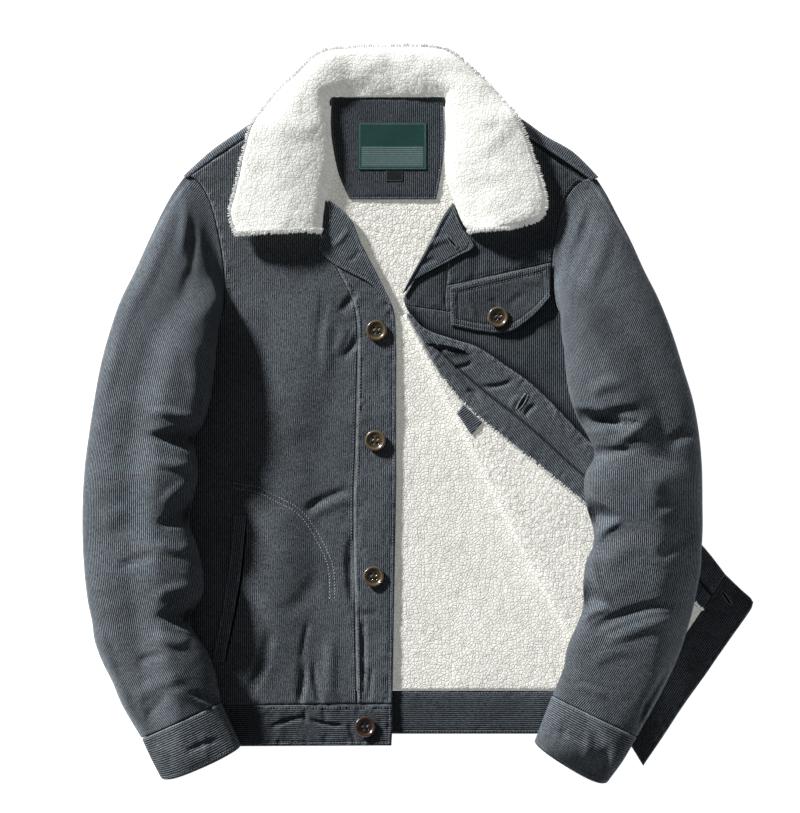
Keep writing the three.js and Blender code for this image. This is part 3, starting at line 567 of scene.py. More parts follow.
def curls(s, t, size, seed):
    """How high a fleece's curls stand at places on it, from 0 to 1: knots of about one size,
    each a little longer one way, with narrow valleys between them."""
    random = np.random.default_rng(seed)
    spots = random.random((64, 64, 2)) * 0.84 + 0.08
    turns = random.random((64, 64)) * math.pi
    talls = random.random((64, 64)) * 0.45 + 0.55
    bent = size * 0.35
    s, t = s + bent * noise(s, t, size * 1.9, seed + 5), t + bent * noise(s, t, size * 1.7, seed + 6)
    cell_s, cell_t = np.floor(s / size), np.floor(t / size)
    first = np.full(s.shape, 9.0)
    second = np.full(s.shape, 9.0)
    tall = np.zeros(s.shape)
    for i in (-1, 0, 1):
        for j in (-1, 0, 1):
            a, b = ((cell_s + i) % 64).astype(int), ((cell_t + j) % 64).astype(int)
            ds = cell_s + i + spots[a, b, 0] - s / size
            dt = cell_t + j + spots[a, b, 1] - t / size
            turn = turns[a, b]
            along = (ds * np.cos(turn) + dt * np.sin(turn)) / 1.25
            beside = (dt * np.cos(turn) - ds * np.sin(turn)) * 1.2
            distance = np.hypot(along, beside)
            tall = np.where(distance < first, talls[a, b], tall)
            second = np.minimum(second, np.maximum(distance, first))
            first = np.minimum(first, distance)
    dome = np.sqrt(np.clip(1 - (first / 0.85) ** 2, 0, 1))
    valley = ease(second - first, 0, 0.3)
    return tall * (0.55 * dome + 0.45 * valley)


def fleece(outer, inner, s, t, seed, high=CURL_HIGH, closed=False):
    """Both faces of a fleece whose outer face is raised into curls, and how high they stand."""
    outer, inner = soften(outer, inner, closed)
    pile = 0.8 * curls(s, t, CURL, seed) + 0.2 * curls(s, t, CURL * 0.55, seed + 9)
    way = outer - inner
    way = way / np.maximum(np.linalg.norm(way, axis=-1, keepdims=True), 1e-6)
    return (outer + way * (high * (pile - 0.75))[..., None], inner), pile


def curl_group():
    """Sherpa: off-white grains of twisted fibre, with painted shade in the thin valleys round each one and in the
    longer cracks where the pile parts, and short loose hairs."""
    colors, value = "NodeSocketColor", "NodeSocketFloat"
    tree, given, out = group(
        "curls",
        [
            ("Weave", "NodeSocketVector", None),
            ("Pile", value, 1.0),
            ("Tip", colors, (0.8, 0.8, 0.8, 1)),
            ("Valley", colors, (0.4, 0.4, 0.4, 1)),
        ],
        [("Color", colors), ("Height", value)],
    )
    place = given["Weave"]
    drift = add(tree, "ShaderNodeTexNoise", {"Vector": place, "Scale": 130, "Detail": 2.0}).outputs["Color"]
    pulled = add(tree, "ShaderNodeVectorMath", {0: drift, 1: (0.0042, 0.0042, 0)}, operation="MULTIPLY")
    bent = add(tree, "ShaderNodeVectorMath", {0: place, 1: pulled.outputs[0]}, operation="ADD").outputs[0]
    grains = edges(tree, bent, 275)
    locks = edges(tree, bent, 88)
    fibre = speckle(tree, place, 1300, 3.0)
    body = span(tree, grains, 0, 0.2, 0, 1)
    parted = span(tree, locks, 0, 0.045, 0, 1)
    depth = sums(tree, "MULTIPLY", span(tree, body, 0, 1, 0.6, 1), span(tree, parted, 0, 1, 0.55, 1))
    # Where the curls stand low the colour is darker: painted shade in the hollows of the pile.
    depth = sums(tree, "MULTIPLY", depth, span(tree, given["Pile"], 0.05, 0.6, 0.55, 1))
    depth = sums(tree, "MULTIPLY", depth, span(tree, fibre, 0.3, 0.7, 0.93, 1.05))
    color = mixed(tree, depth, given["Valley"], given["Tip"])
    cast = span(tree, speckle(tree, place, 22, 3.0), 0.3, 0.7, 0.95, 1.04)
    grey = add(tree, "ShaderNodeCombineXYZ", {0: cast, 1: cast, 2: cast}).outputs[0]
    tree.links.new(mixed(tree, 1.0, color, grey, "MULTIPLY"), out["Color"])
    high = sums(tree, "ADD", sums(tree, "MULTIPLY", body, 0.8), sums(tree, "MULTIPLY", parted, 0.6))
    tree.links.new(sums(tree, "ADD", high, sums(tree, "MULTIPLY", fibre, 0.22)), out["Height"])
    return tree


def edges(tree, place, scale):
    """How far places lie in from the borders of a patchwork of cells."""
    inputs = {"Vector": place, "Scale": scale}
    cells = add(tree, "ShaderNodeTexVoronoi", inputs, voronoi_dimensions="2D", feature="DISTANCE_TO_EDGE")
    return cells.outputs["Distance"]


CURLS = curl_group()


def sherpa(name, tip, valley, relief=0.45):
    """The white fleece, by the colours of its curl tips and of the painted shade in its valleys, and how deep those are
    in mm. It glows with its own colour, painted light that lifts its shaded parts.
    """
    made = bpy.data.materials.new(name)
    made.use_nodes = True
    tree = made.node_tree
    shader = tree.nodes["Principled BSDF"]
    weave = add(tree, "ShaderNodeUVMap", uv_map="weave").outputs[0]
    pile = add(tree, "ShaderNodeAttribute", attribute_name="pile").outputs["Fac"]
    knots = add(tree, "ShaderNodeGroup", node_tree=CURLS)
    tree.links.new(weave, knots.inputs["Weave"])
    tree.links.new(pile, knots.inputs["Pile"])
    knots.inputs["Tip"].default_value = tip
    knots.inputs["Valley"].default_value = valley
    bump = add(tree, "ShaderNodeBump", {"Height": knots.outputs["Height"], "Distance": relief * MM})
    tree.links.new(bump.outputs[0], shader.inputs["Normal"])
    tree.links.new(knots.outputs["Color"], shader.inputs["Base Color"])
    # Painted light: the fleece glows with its own colour.
    tree.links.new(knots.outputs["Color"], shader.inputs["Emission Color"])
    shader.inputs["Emission Strength"].default_value = FLEECE_GLOW
    shader.inputs["Roughness"].default_value = 1
    shader.inputs["Specular IOR Level"].default_value = 0.05
    shader.inputs["Sheen Weight"].default_value = 0.1
    shader.inputs["Sheen Roughness"].default_value = 0.7
    return made


SHERPA = sherpa("sherpa_lining", (0.635, 0.63, 0.585, 1), (0.32, 0.31, 0.275, 1))

lining_y = np.maximum(BACK["y"], -289.7)
lining = {"y": lining_y, "left": BACK["left"] + LINING_INSET, "right": BACK["right"] - LINING_INSET}
shown = {name: values[:] for name, values in lining.items()}
u, v = net(eased(300, 625), eased(180, 400))
row = row_at(shown, u)
x, y = lerp(row["left"], row["right"], v), row["y"]
sag = 0.9 * noise(x, y, 60, 3)
top = np.stack([x, y, LINING_TOP + sag], -1)
under = np.stack([x, y, np.full(x.shape, LINING_UNDER)], -1)
faces, pile = fleece(top, under, x, y, 21)
back_lining = piece("back_fleece", [{"faces": faces, "weave": np.stack([x, y], -1), "pile": pile}], SHERPA)
dress(back_lining, "sherpa", "back_lining")

# The layers as they lie on the lining, and the two fronts' plans: the armhole or side edge, the
# placket's seam and the front edge. The fronts lie flat over the lining and come down to the
# back at the side seams.
FRONT = 5
BACK_BAND = 6.5
FRONT_UNDER = LINING_TOP + LAYER_GAP
FRONT_TOP = FRONT_UNDER + FRONT
SIDE_UNDER = SHELL + GAP
SIDE_RAMP = 26
UNDERARM_Y = 100
TURNED_SHELL = 2.2
TURNED_PILE = 4.5
TURNED_UNDER = FRONT_TOP + LAYER_GAP
TURNED_PILE_UNDER = TURNED_SHELL + GAP
TURNED_THICK = TURNED_PILE_UNDER + TURNED_PILE
TURNED_DROP_X = 242
TURNED_DROP = 48
SEAM_SHARE = 0.003
SEWN_DIP = 0.6
BACK_WAISTBAND = table("y left right", [
    (-290.3, -244, 232),
    (-313, -242, 232),
    (-336, -239, 231),
])
WAISTBAND_RIGHT = table("left_x left_y right_x right_y", [
    (-243, -306.4, -29, -304.4),
    (-240, -328, -29, -326),
    (-238, -349, -30, -348),
])
FRONT_RIGHT = table("side_x side_y seam_x seam_y edge_x edge_y", [
    (-242, 252, -140, 321, -128, 329),
    (-231, 236, -126, 292, -115, 300),
    (-219, 218, -123, 258, -110, 266),
    (-211, 198, -122, 226, -104, 232),
    (-205, 178, -110, 202, -81, 212),
    (-203, 154, -98, 176, -65, 186),
    (-204, 129, -84, 149, -50, 158),
    (-209, 106, -71, 123, -37, 132),
    (-228, 85, -66, 100, -27, 108),
    (-245, 54, -65, 68, -25, 74),
    (-256, 14, -66, 24, -25, 27),
    (-262, -37, -67, -28, -25, -26),
    (-265, -89, -69, -80, -25, -79),
    (-262, -144, -69, -136, -26, -135),
    (-258, -196, -68, -193, -27, -193),
    (-252, -249, -67, -249, -28, -250),
    (-245, -306, -66, -304, -29, -304),
])
FOLD_COLUMNS = "x y turn length width high"
FRONT_RIGHT_FOLDS = table(FOLD_COLUMNS, [
    (-150, -160, 88, 330, 90, 7),
    (-130, 40, 80, 220, 90, 4),
    (-78, -158, 80, 90, 18, -3),
    (-97, -89, 26, 60, 14, -2.5),
    (-125, -276, 86, 55, 14, -2.5),
    (-107, -272, 84, 55, 12, -2),
    (-169, -274, 60, 60, 16, -2.5),
    (-102, 110, 84, 120, 14, -1.5),
])

# Creases and soft rolls of the worn cloth: the two ends, how far the middle bows to the left of
# the way from the first end to the second, the whole width, and the height, or depth below zero.
CREASE_COLUMNS = "from_x from_y to_x to_y bow width high"
FRONT_RIGHT_CREASES = table(CREASE_COLUMNS, [
    (-70, -122, -67, -204, -5, 15, -3.6),
    (-124, -104, -68, -78, 5, 12, -2.6),
    (-120, -112, -66, -88, 5, 16, 1.6),
    (-122, -258, -129, -310, 2, 12, -3.2),
    (-112, -256, -103, -310, -2, 11, -2.8),
    (-116, -214, -124, -262, -2, 10, -1.6),
    (-157, -220, -180, -292, 4, 18, -3.0),
    (-94, -228, -95, -306, 0, 20, 2.4),
    (-60, -205, -59, -302, 0, 10, -3.0),
    (-50, -262, -55, -304, 0, 9, -1.6),
    (-72, -206, -42, -208, -3, 9, -1.4),
    (-67, 134, -86, 106, 2, 14, -2.4),
    (-64, 86, -82, 58, 2, 12, -2.4),
    (-78, 96, -92, 60, 2, 14, 1.4),
    (-100, 104, -97, 36, 0, 20, 1.8),
    (-58, -20, -52, -44, 2, 9, -1.2),
    (-44, 56, -40, 20, 0, 10, -1.0),
    (-108, -170, -150, -210, 6, 26, -1.4),
    (-205, -250, -190, -300, 4, 22, 1.6),
    (-134, -20, -100, -60, 6, 40, -1.2),
])


def crease_height(creases, x, y):
    """How high the creases lift the cloth at a place."""
    high = np.zeros(np.broadcast(x, y).shape)
    for k in range(len(creases["high"])):
        crease = {name: values[k] for name, values in creases.items()}
        way_x, way_y = crease["to_x"] - crease["from_x"], crease["to_y"] - crease["from_y"]
        length = math.hypot(way_x, way_y)
        way_x, way_y = way_x / length, way_y / length
        off_x, off_y = x - crease["from_x"], y - crease["from_y"]
        along = (off_x * way_x + off_y * way_y) / length * 2 - 1
        across = off_y * way_x - off_x * way_y - crease["bow"] * (1 - along ** 2)
        across = across / (crease["width"] / 2)
        inside = (np.abs(along) < 1) & (np.abs(across) < 1)
        high += np.where(inside, crease["high"] * (1 - along ** 4) ** 2 * (1 - across ** 2) ** 2, 0)
    return high


def fold_height(folds, x, y):
    """How high the broad folds lift the cloth, by their middles and directions."""
    high = np.zeros(np.broadcast(x, y).shape)
    for k in range(len(folds["high"])):
        fold = {name: values[k] for name, values in folds.items()}
        turn = math.radians(fold["turn"])
        off_x, off_y = x - fold["x"], y - fold["y"]
        along = (off_x * math.cos(turn) + off_y * math.sin(turn)) / (fold["length"] / 2)
        across = (off_y * math.cos(turn) - off_x * math.sin(turn)) / (fold["width"] / 2)
        inside = (np.abs(along) < 1) & (np.abs(across) < 1)
        high += np.where(inside, fold["high"] * (1 - along ** 2) ** 2 * (1 - across ** 2) ** 2, 0)
    return high


below = BACK["y"] < UNDERARM_Y
SIDES = {name: np.append(BACK[name][below], BACK_WAISTBAND[name][-1]) for name in BACK}


def side_depth(x, y):
    """How far a place lies in from the nearer side seam."""
    rising = SIDES["y"][::-1]
    left, right = (np.interp(y, rising, SIDES[name][::-1]) for name in ("left", "right"))
    return np.minimum(x - left, right - x)


def flat_under(x, y):
    from_armhole = ease(y, UNDERARM_Y - 50, UNDERARM_Y)
    return lerp(SIDE_UNDER, FRONT_UNDER, np.maximum(ease(side_depth(x, y), 0, SIDE_RAMP), from_armhole))


def front_under(x, y):
    return flat_under(x, y) + np.maximum(0, fold_height(FRONT_RIGHT_FOLDS, x, y))


def front_top(x, y):
    """The top of the wearer's right front, with its creases."""
    return front_under(x, y) + FRONT + crease_height(FRONT_RIGHT_CREASES, x, y) + ripple(x, y, 40, 0.55)


def along_row(row, names, v):
    """A place on rows that run through named points, such as side, seam and edge."""
    first = np.clip(np.floor(v).astype(int), 0, len(names) - 2)
    ends = [np.choose(first + step, [row[f"{name}_{axis}"] for name in names])
            for step in (0, 1) for axis in "xy"]
    return lerp(ends[0], ends[2], v - first), lerp(ends[1], ends[3], v - first)


def front_place(rows, names, sleeve_rows, inward, u, v):
    """A front's places, with its armhole edge drawn in to the sleeve's seam."""
    row = row_at(rows, u)
    seam = armhole_x(sleeve_rows, row["side_y"], np.nan)
    drawn = seam + inward * ARMHOLE_GAP
    near_top = row["side_y"] > armhole(sleeve_rows)[0][-1] - ARMHOLE_TOP
    drawn = np.where(near_top, inward * np.maximum(inward * row["side_x"], inward * drawn), drawn)
    row["side_x"] = np.where(np.isnan(seam), row["side_x"], drawn)
    return along_row(row, names, v)


def pucker(points, seed, reach=9, high=0.55, size=6):
    """The small gathers that a seam's stitches draw along the borders of a piece."""
    depth = border_depth(points)
    x, y = points[..., 0], points[..., 1]
    wrinkle = noise(x * 1.3, y * 1.3, size, seed) + 0.6 * noise(x, y, size * 0.55, seed + 1)
    return high * wrinkle * np.exp(-((depth / reach) ** 2)), depth


def laid(x, y, under, top, grain, seed, reach=9, high=0.55, dips=(), sewn_at=()):
    """A cloth that lies on its underside, with puckered borders and pale rubbed edges. Stitches
    hold it down along the paths of dips and at the distances sewn_at in from its borders."""
    middle = np.stack([x, y, np.zeros(x.shape)], -1)
    gathers, depth = pucker(middle, seed, reach, high)
    sunk = sum((dip * np.exp(-((path_distance(path, x, y) / 2.2) ** 2)) for path, dip in dips), 0)
    sunk += sum(SEWN_DIP * np.exp(-(((depth - inset) / 1.5) ** 2)) for inset in sewn_at)
    faces = flat_cloth(x, y, under, top + gathers - sunk)
    wear_and_highlight = 0.4 * np.exp(-((depth / 1.7) ** 2))
    return {"faces": faces, "weave": wale_map(x, y, grain), "wear_and_highlight": wear_and_highlight, "plan": (x, y)}


def path_distance(path, x, y):
    """How far places lie from a line of points."""
    nearest = np.full(np.shape(x), 1e3)
    for (ax, ay), (bx, by) in zip(path[:-1], path[1:]):
        length = (bx - ax) ** 2 + (by - ay) ** 2
        t = np.clip(((x - ax) * (bx - ax) + (y - ay) * (by - ay)) / length, 0, 1)
        nearest = np.minimum(nearest, np.hypot(x - lerp(ax, bx, t), y - lerp(ay, by, t)))
    return nearest


# The wearer's right front: one cut from the shoulder seam to the waistband, with vertical wales,
# and the curved double row of stitches that holds the pocket bag behind it.
POCKET_CURVE = [
    (-200, -71), (-189, -73), (-171, -76), (-158, -82), (-142, -90), (-131, -96), (-118, -108), (-107, -125),
    (-98, -142), (-92, -158), (-90, -174), (-90, -196),
]
POCKET_CURVE_APART = 5
RIGHT_NAMES = ("side", "seam", "edge")
STITCH_PITCH = 3.2
STITCH_LENGTH = 2.3
STITCH_RADIUS = 0.3
STITCH_SUNK = 0.22


def beside(path, off):
    """A line of points moved to its left by a distance."""
    points = np.array(path, float)
    way = np.gradient(points, axis=0)
    way /= np.linalg.norm(way, axis=1, keepdims=True)
    return points + off * np.stack([-way[:, 1], way[:, 0]], 1)


def soft_color(name, dark, light, scale, rough=0.8):
    """A plain fibre or horn colour with soft streaks."""
    made = bpy.data.materials.new(name)
    made.use_nodes = True
    tree = made.node_tree
    shader = tree.nodes["Principled BSDF"]
    place = add(tree, "ShaderNodeTexCoord").outputs["Object"]
    streaks = span(tree, speckle(tree, place, scale, 3.0), 0.3, 0.7, 0, 1)
    tree.links.new(mixed(tree, streaks, dark, light), shader.inputs["Base Color"])
    shader.inputs["Roughness"].default_value = rough
    shader.inputs["Specular IOR Level"].default_value = 0.2
    return made


THREAD = soft_color("thread", (0.11, 0.125, 0.14, 1), (0.27, 0.295, 0.31, 1), 700)
# A darker copy of the same thread: painted shade for stitches in the sleeve's shadow.
THREAD_SHADED = soft_color("thread_shaded", (0.03, 0.035, 0.04, 1), (0.1, 0.11, 0.12, 1), 700)
THREAD_PALE = soft_color("thread_pale", (0.35, 0.38, 0.4, 1), (0.62, 0.65, 0.66, 1), 700)


def spindles(name, starts, ends, radius, material):
    """Small tapered strands from place to place, such as stitches and the tips of a pile."""
    way = ends - starts
    side = np.cross(way, (0.02, 0.03, 1))
    side /= np.linalg.norm(side, axis=1, keepdims=True)
    up = np.cross(side, way)
    up /= np.linalg.norm(up, axis=1, keepdims=True)
    around = [across * side + rise * up for across, rise in ((1, 0), (0, 1), (-1, 0), (0, -1))]
    rings = [starts + way * share + radius * off for share in (0.28, 0.72) for off in around]
    points = np.stack([starts, *rings, ends], 1)
    turn = [(k, (k + 1) % 4) for k in range(4)]
    near = [(0, 1 + a, 1 + b) for a, b in turn]
    far = [(9, 5 + b, 5 + a) for a, b in turn]
    sides = [tri for a, b in turn for tri in ((1 + a, 5 + a, 5 + b), (1 + a, 5 + b, 1 + b))]
    faces = np.array(near + far + sides)[None] + 10 * np.arange(len(starts))[:, None, None]
    mesh = bpy.data.meshes.new(name)
    mesh.from_pydata((points.reshape(-1, 3) * MM).tolist(), [], faces.reshape(-1, 3).tolist())
    mesh.polygons.foreach_set("use_smooth", np.ones(len(mesh.polygons), bool))
    mesh.materials.append(material)
    made = bpy.data.objects.new(name, mesh)
    bpy.context.scene.collection.objects.link(made)
    return made


def inset_line(face, side, inset):
    """The line of places on a net's face that runs a distance in from one of its sides."""
    rows = face if side in ("left", "right") else face.swapaxes(0, 1)
    rows = rows[:, ::-1] if side in ("right", "bottom") else rows
    run = run_along(rows, 1)[0]
    return np.array([[np.interp(inset, way, row[:, k]) for k in range(3)] for way, row in zip(run, rows)])


def sewn(name, lines, thread=THREAD):
    """Rows of stitches along lines of places on the cloth, drawn in a little at both ends."""
    starts, ends = [], []
    for line in lines:
        run = run_along(line[None], 1)[0][0]
        first = np.arange(STITCH_PITCH, run[-1] - STITCH_PITCH, STITCH_PITCH)
        for found, at in ((starts, first), (ends, first + STITCH_LENGTH)):
            place = np.stack([np.interp(at, run, line[:, k]) for k in range(3)], -1)
            found.append(place + [0, 0, STITCH_RADIUS - STITCH_SUNK])
    made = spindles(name, np.concatenate(starts), np.concatenate(ends), STITCH_RADIUS, thread)
    dress(made, "corduroy")


def over(path, top, count=200):
    """A smooth line of places above a path, at the heights of a cloth's top."""
    spots = row_at(table("x y", path), np.linspace(0, 1, count))
    return np.stack([spots["x"], spots["y"], top(spots["x"], spots["y"])], -1)


second_curve = beside(POCKET_CURVE, -POCKET_CURVE_APART)
u, v = net(eased(285, 570), eased(94, 160) * (1 - SEAM_SHARE))
x, y = front_place(FRONT_RIGHT, RIGHT_NAMES, SLEEVE_RIGHT, 1, u, v)
dips = [(POCKET_CURVE, 0.6), (second_curve, 0.6)]
cloth = laid(x, y, front_under(x, y), front_top(x, y), 90, 61, dips=dips)
front_right = piece("front_right_cloth", [cloth], CORDUROY)
dress(front_right, "corduroy", "front_right")
armhole_line = inset_line(cloth["faces"][0], "left", 5)
armhole_line = armhole_line[(armhole_line[:, 1] < 240) & (armhole_line[:, 1] > 100)]
curves = [over(path, front_top) - [0, 0, 0.6] for path in (POCKET_CURVE, second_curve)]
sewn("pocket_curve_stitches", curves, THREAD_PALE)
sewn("front_right_stitches", [armhole_line, inset_line(cloth["faces"][0], "right", 3)])

# The right placket: a straight band sewn to the front edge, with wales down its length, that
# carries three buttons. Stitches run close inside both of its long edges.
u, v = net(eased(330, 570), 1 + eased(34, 41))
x, y = front_place(FRONT_RIGHT, RIGHT_NAMES, SLEEVE_RIGHT, 1, u, v)
seam_roll = 0.5 * np.exp(-(((v - 1) * 41 - 3) / 2) ** 2) * (1 + noise(x, y, 14, 66))
cloth = laid(x, y, front_under(x, y), front_top(x, y) + seam_roll, 90, 62, 12, 0.6, sewn_at=(4,))
placket_right = piece("placket_right_cloth", [cloth], CORDUROY)
dress(placket_right, "corduroy", "placket_right")
sewn("placket_right_stitches", [inset_line(cloth["faces"][0], side, 4) for side in ("left", "right")])

# The right waistband: a doubled band of corduroy cut along the wales, so that its ribs run round
# the hem. It is drawn up a little where it is sewn to the front.
WAISTBAND_RIGHT_CREASES = table(CREASE_COLUMNS, [
    (-160, -331, -118, -319, 3, 9, -2.6),
    (-118, -320, -78, -327, -2, 7, -3.2),
    (-122, -308, -120, -326, 0, 8, -1.8),
    (-102, -307, -98, -324, 0, 9, -1.4),
    (-100, -336, -99, -348, 0, 8, -1.2),
    (-74, -322, -66, -346, -2, 9, -1.8),
    (-45, -318, -38, -344, 2, 8, -1.2),
    (-190, -316, -160, -322, 2, 16, -1.6),
    (-150, -310, -148, -346, 2, 14, 1.2),
    (-210, -310, -205, -345, 2, 12, -1.0),
])
u, v = net(eased(40, 43), eased(190, 214))
row = row_at(WAISTBAND_RIGHT, u)
x, y = along_row(row, ("left", "right"), v)
top = front_under(x, y) + FRONT + crease_height(WAISTBAND_RIGHT_CREASES, x, y) + ripple(x, y, 44, 0.5)
cloth = laid(x, y, front_under(x, y), top, 1, 63, 10, 0.8, sewn_at=(4,))
waistband_right = piece("waistband_right_cloth", [cloth], CORDUROY_SHADED)
dress(waistband_right, "corduroy", "waistband_right")
sewn("waistband_right_stitches", [inset_line(cloth["faces"][0], side, 4) for side in ("top", "bottom", "right")])

# The pocket welt: a narrow folded strip beside the pocket's slanting mouth, which shows as a slit along its inner edge,
# painted near black as shade.
WELT_LIFT = 1
WELT_THICK = 1.4
WELT_RIGHT = table("y left right", [
    (-106, -196, -183),
    (-160, -201, -188),
    (-210, -209, -196),
    (-260, -219, -206),
])
u, v = net(eased(80, 156), eased(12, 13))
row = row_at(WELT_RIGHT, u)
x, y = lerp(row["left"], row["right"], v), row["y"]
under = front_under(x, y) + FRONT + WELT_LIFT - 0.6
cloth = laid(x, y, under, under + 0.6 + WELT_THICK, 84, 64, 4, 0.3, sewn_at=(2.5,))
welt = piece("welt_right_cloth", [cloth], CORDUROY)
dress(welt, "corduroy", "welt_right")
sewn("welt_right_stitches", [inset_line(cloth["faces"][0], side, 2.5) for side in ("left", "right", "bottom")])

# Near-black cloth laid over openings: painted shade for their shadowed insides.
slit_painted_shade = bpy.data.materials.new("pocket_painted_shade")
slit_painted_shade.use_nodes = True
slit_tree = slit_painted_shade.node_tree
slit_shader = slit_tree.nodes["Principled BSDF"]
slit_shade_speckle = speckle(slit_tree, add(slit_tree, "ShaderNodeUVMap", uv_map="weave").outputs[0], 400)
slit_tree.links.new(
    mixed(slit_tree, slit_shade_speckle, (0.002, 0.002, 0.003, 1), (0.008, 0.009, 0.012, 1)),
    slit_shader.inputs["Base Color"],
)
slit_shader.inputs["Roughness"].default_value = 1
slit_shader.inputs["Specular IOR Level"].default_value = 0


def slit(points, width):
    """A near-black lens laid over an opening, painted shade for its shadowed inside, along a line of places with
    heights.
    """
    share = np.linspace(0, 1, len(points))[:, None]
    wide = width / 2 * np.sin(np.clip(share, 0.02, 0.98) * math.pi) ** 0.6
    across = np.linspace(-1, 1, 5)[None, :]
    way = np.gradient(points[:, :2], axis=0)
    way /= np.linalg.norm(way, axis=1, keepdims=True)
    x = points[:, :1] - way[:, 1:] * wide * across
    y = points[:, 1:2] + way[:, :1] * wide * across
    z = points[:, 2:] + 0 * across
    upper = np.stack([x, y, z], -1)
    return {"faces": (upper, upper - [0, 0, 0.25]), "weave": np.stack([x, y], -1)}


row = row_at(WELT_RIGHT, np.linspace(0.06, 1, 40))
line = np.stack([row["right"] + 0.9, row["y"], front_top(row["right"] + 0.9, row["y"]) + 0.55], -1)
mouth = piece("pocket_mouth", [slit(line, 3.4)], slit_painted_shade)
dress(mouth, "corduroy")

# The wearer's left front where it faces up: the placket beside the neck, the yoke above the
# pocket flap, and the chest, which goes on under the part that is turned back.
YOKE_SECTION = 7
FRONT_LEFT = table("edge_x edge_y seam_x seam_y side_x side_y", [
    (68, 323, 79, 315, 182, 247),
    (54, 297, 68, 289, 168, 238),
    (48, 266, 62, 259, 156, 227),
    (44, 236, 58, 231, 147, 212),
    (29, 209, 48, 206, 143, 197),
    (16, 184, 38, 183, 142, 183),
    (4, 161, 31, 162, 142, 172),
    (-10, 136, 28, 136, 142, 161),
    (-17, 122, 27, 117, 146, 122),
    (-10, 104, 32, 96, 163, 93),
    (2, 78, 44, 69, 186, 60),
    (18, 45, 60, 38, 204, 16),
    (41, 0, 82, -8, 218, -32),
    (65, -47, 104, -55, 228, -84),
    (92, -100, 128, -107, 234, -136),
    (120, -154, 152, -161, 237, -189),
    (150, -210, 176, -216, 239, -242),
    (180, -264, 200, -269, 239, -289),
    (201, -300, 212, -302, 236, -306),
])
FRONT_LEFT_CREASES = table(CREASE_COLUMNS, [
    (100, 196, 112, 158, 2, 24, 1.4),
    (60, 176, 62, 130, 0, 20, -1.2),
    (130, 120, 150, 60, 4, 26, -1.6),
    (60, 92, 120, 40, -6, 34, 1.5),
    (110, 60, 160, 0, 6, 30, -1.2),
])
LEFT_NAMES = ("edge", "seam", "side")
YOKE_END = YOKE_SECTION / (len(FRONT_LEFT["edge_x"]) - 1)


def left_top(x, y):
    return flat_under(x, y) + FRONT + crease_height(FRONT_LEFT_CREASES, x, y) + ripple(x, y, 50, 0.5)


def left_cloth(u, v, seed):
    x, y = front_place(FRONT_LEFT, LEFT_NAMES, SLEEVE_LEFT, -1, u, v)
    return laid(x, y, flat_under(x, y), left_top(x, y), 90, seed, sewn_at=(2.5,))


placket_end = YOKE_END * 1.2
placket_left = piece(
    "placket_left_cloth", [left_cloth(*net(eased(90, 210) * placket_end, eased(20, 30) * 0.999), 71)], CORDUROY_SHADED
)
dress(placket_left, "corduroy", "placket_left")
yoke = piece(
    "yoke_left_cloth", [left_cloth(*net(eased(110, 190) * YOKE_END, 1.001 + 0.999 * eased(60, 100)), 72)], CORDUROY_SHADED
)
dress(yoke, "corduroy", "front_left_yoke")
yoke_face = left_cloth(*net(eased(110, 190) * YOKE_END, 1.001 + 0.999 * eased(60, 100)), 72)["faces"][0]
sewn("yoke_left_stitches", [inset_line(yoke_face, "left", 3), inset_line(yoke_face, "right", 4)])

# The part of the left front that is turned back over itself: its shell runs on from the chest
# round the turn, and the facing lies along its front edge.
TURN_ROUND = 6
TURNED_START = 0.03
TURNED = table("turn_x turn_y facing_x facing_y edge_x edge_y", [
    (-22, 113, -18, 114, -13, 112),
    (-8, 83, -3, 88, 5, 91),
    (8, 49, 14, 56, 34, 80),
    (27, 13, 33, 26, 61, 71),
    (44, -22, 61, -2, 90, 52),
    (61, -55, 89, -25, 118, 32),
    (79, -90, 121, -50, 147, 4),
    (97, -127, 152, -76, 176, -26),
    (118, -167, 185, -103, 207, -52),
    (140, -208, 218, -132, 239, -81),
    (164, -249, 252, -163, 271, -110),
    (189, -293, 281, -190, 300, -140),
    (212, -333, 297, -205.5, 322, -168),
])
TURNED_NAMES = ("turn", "facing", "edge")
FACING_CREASES = table(CREASE_COLUMNS, [
    (63, 30, 100, 37, -3, 8, -2.4),
    (36, 50, 56, 56, -2, 8, -2.2),
    (48, 26, 62, 18, 2, 9, -1.8),
    (110, -3, 124, 11, 3, 8, -2.2),
    (96, 4, 108, 20, 4, 12, 1.4),
    (20, 66, 52, 64, 2, 16, 1.6),
    (118, 0, 180, -64, 2, 7, -1.8),
    (38, 44, 66, 10, 2, 7, -1.8),
    (70, 8, 118, -34, 2, 8, -1.0),
    (132, 16, 150, -6, 3, 14, 1.4),
    (236, -70, 276, -86, 3, 12, -2.0),
    (262, -104, 292, -128, 3, 14, -2.2),
    (270, -150, 300, -168, -3, 14, 1.8),
])


def turned_under(x, y):
    """The turned part lies on the body and sinks to the floor beyond the side seam."""
    return lerp(TURNED_UNDER, GAP, ease(x - TURNED_DROP_X, 0, TURNED_DROP))


def turned_top(x, y):
    creases = crease_height(FACING_CREASES, x, y)
    return turned_under(x, y) + TURNED_THICK + creases + ripple(x, y, 80, 0.5)


u, v = net(lerp(YOKE_END + 0.0003, placket_end, eased(24, 50)), 1.001 + 0.999 * eased(70, 110))
upper_chest = left_cloth(u, v, 73)
u, v = net(lerp(placket_end + 0.0002, 1, eased(160, 380)), 2 * eased(90, 130))
lower_chest = left_cloth(u, v, 74)
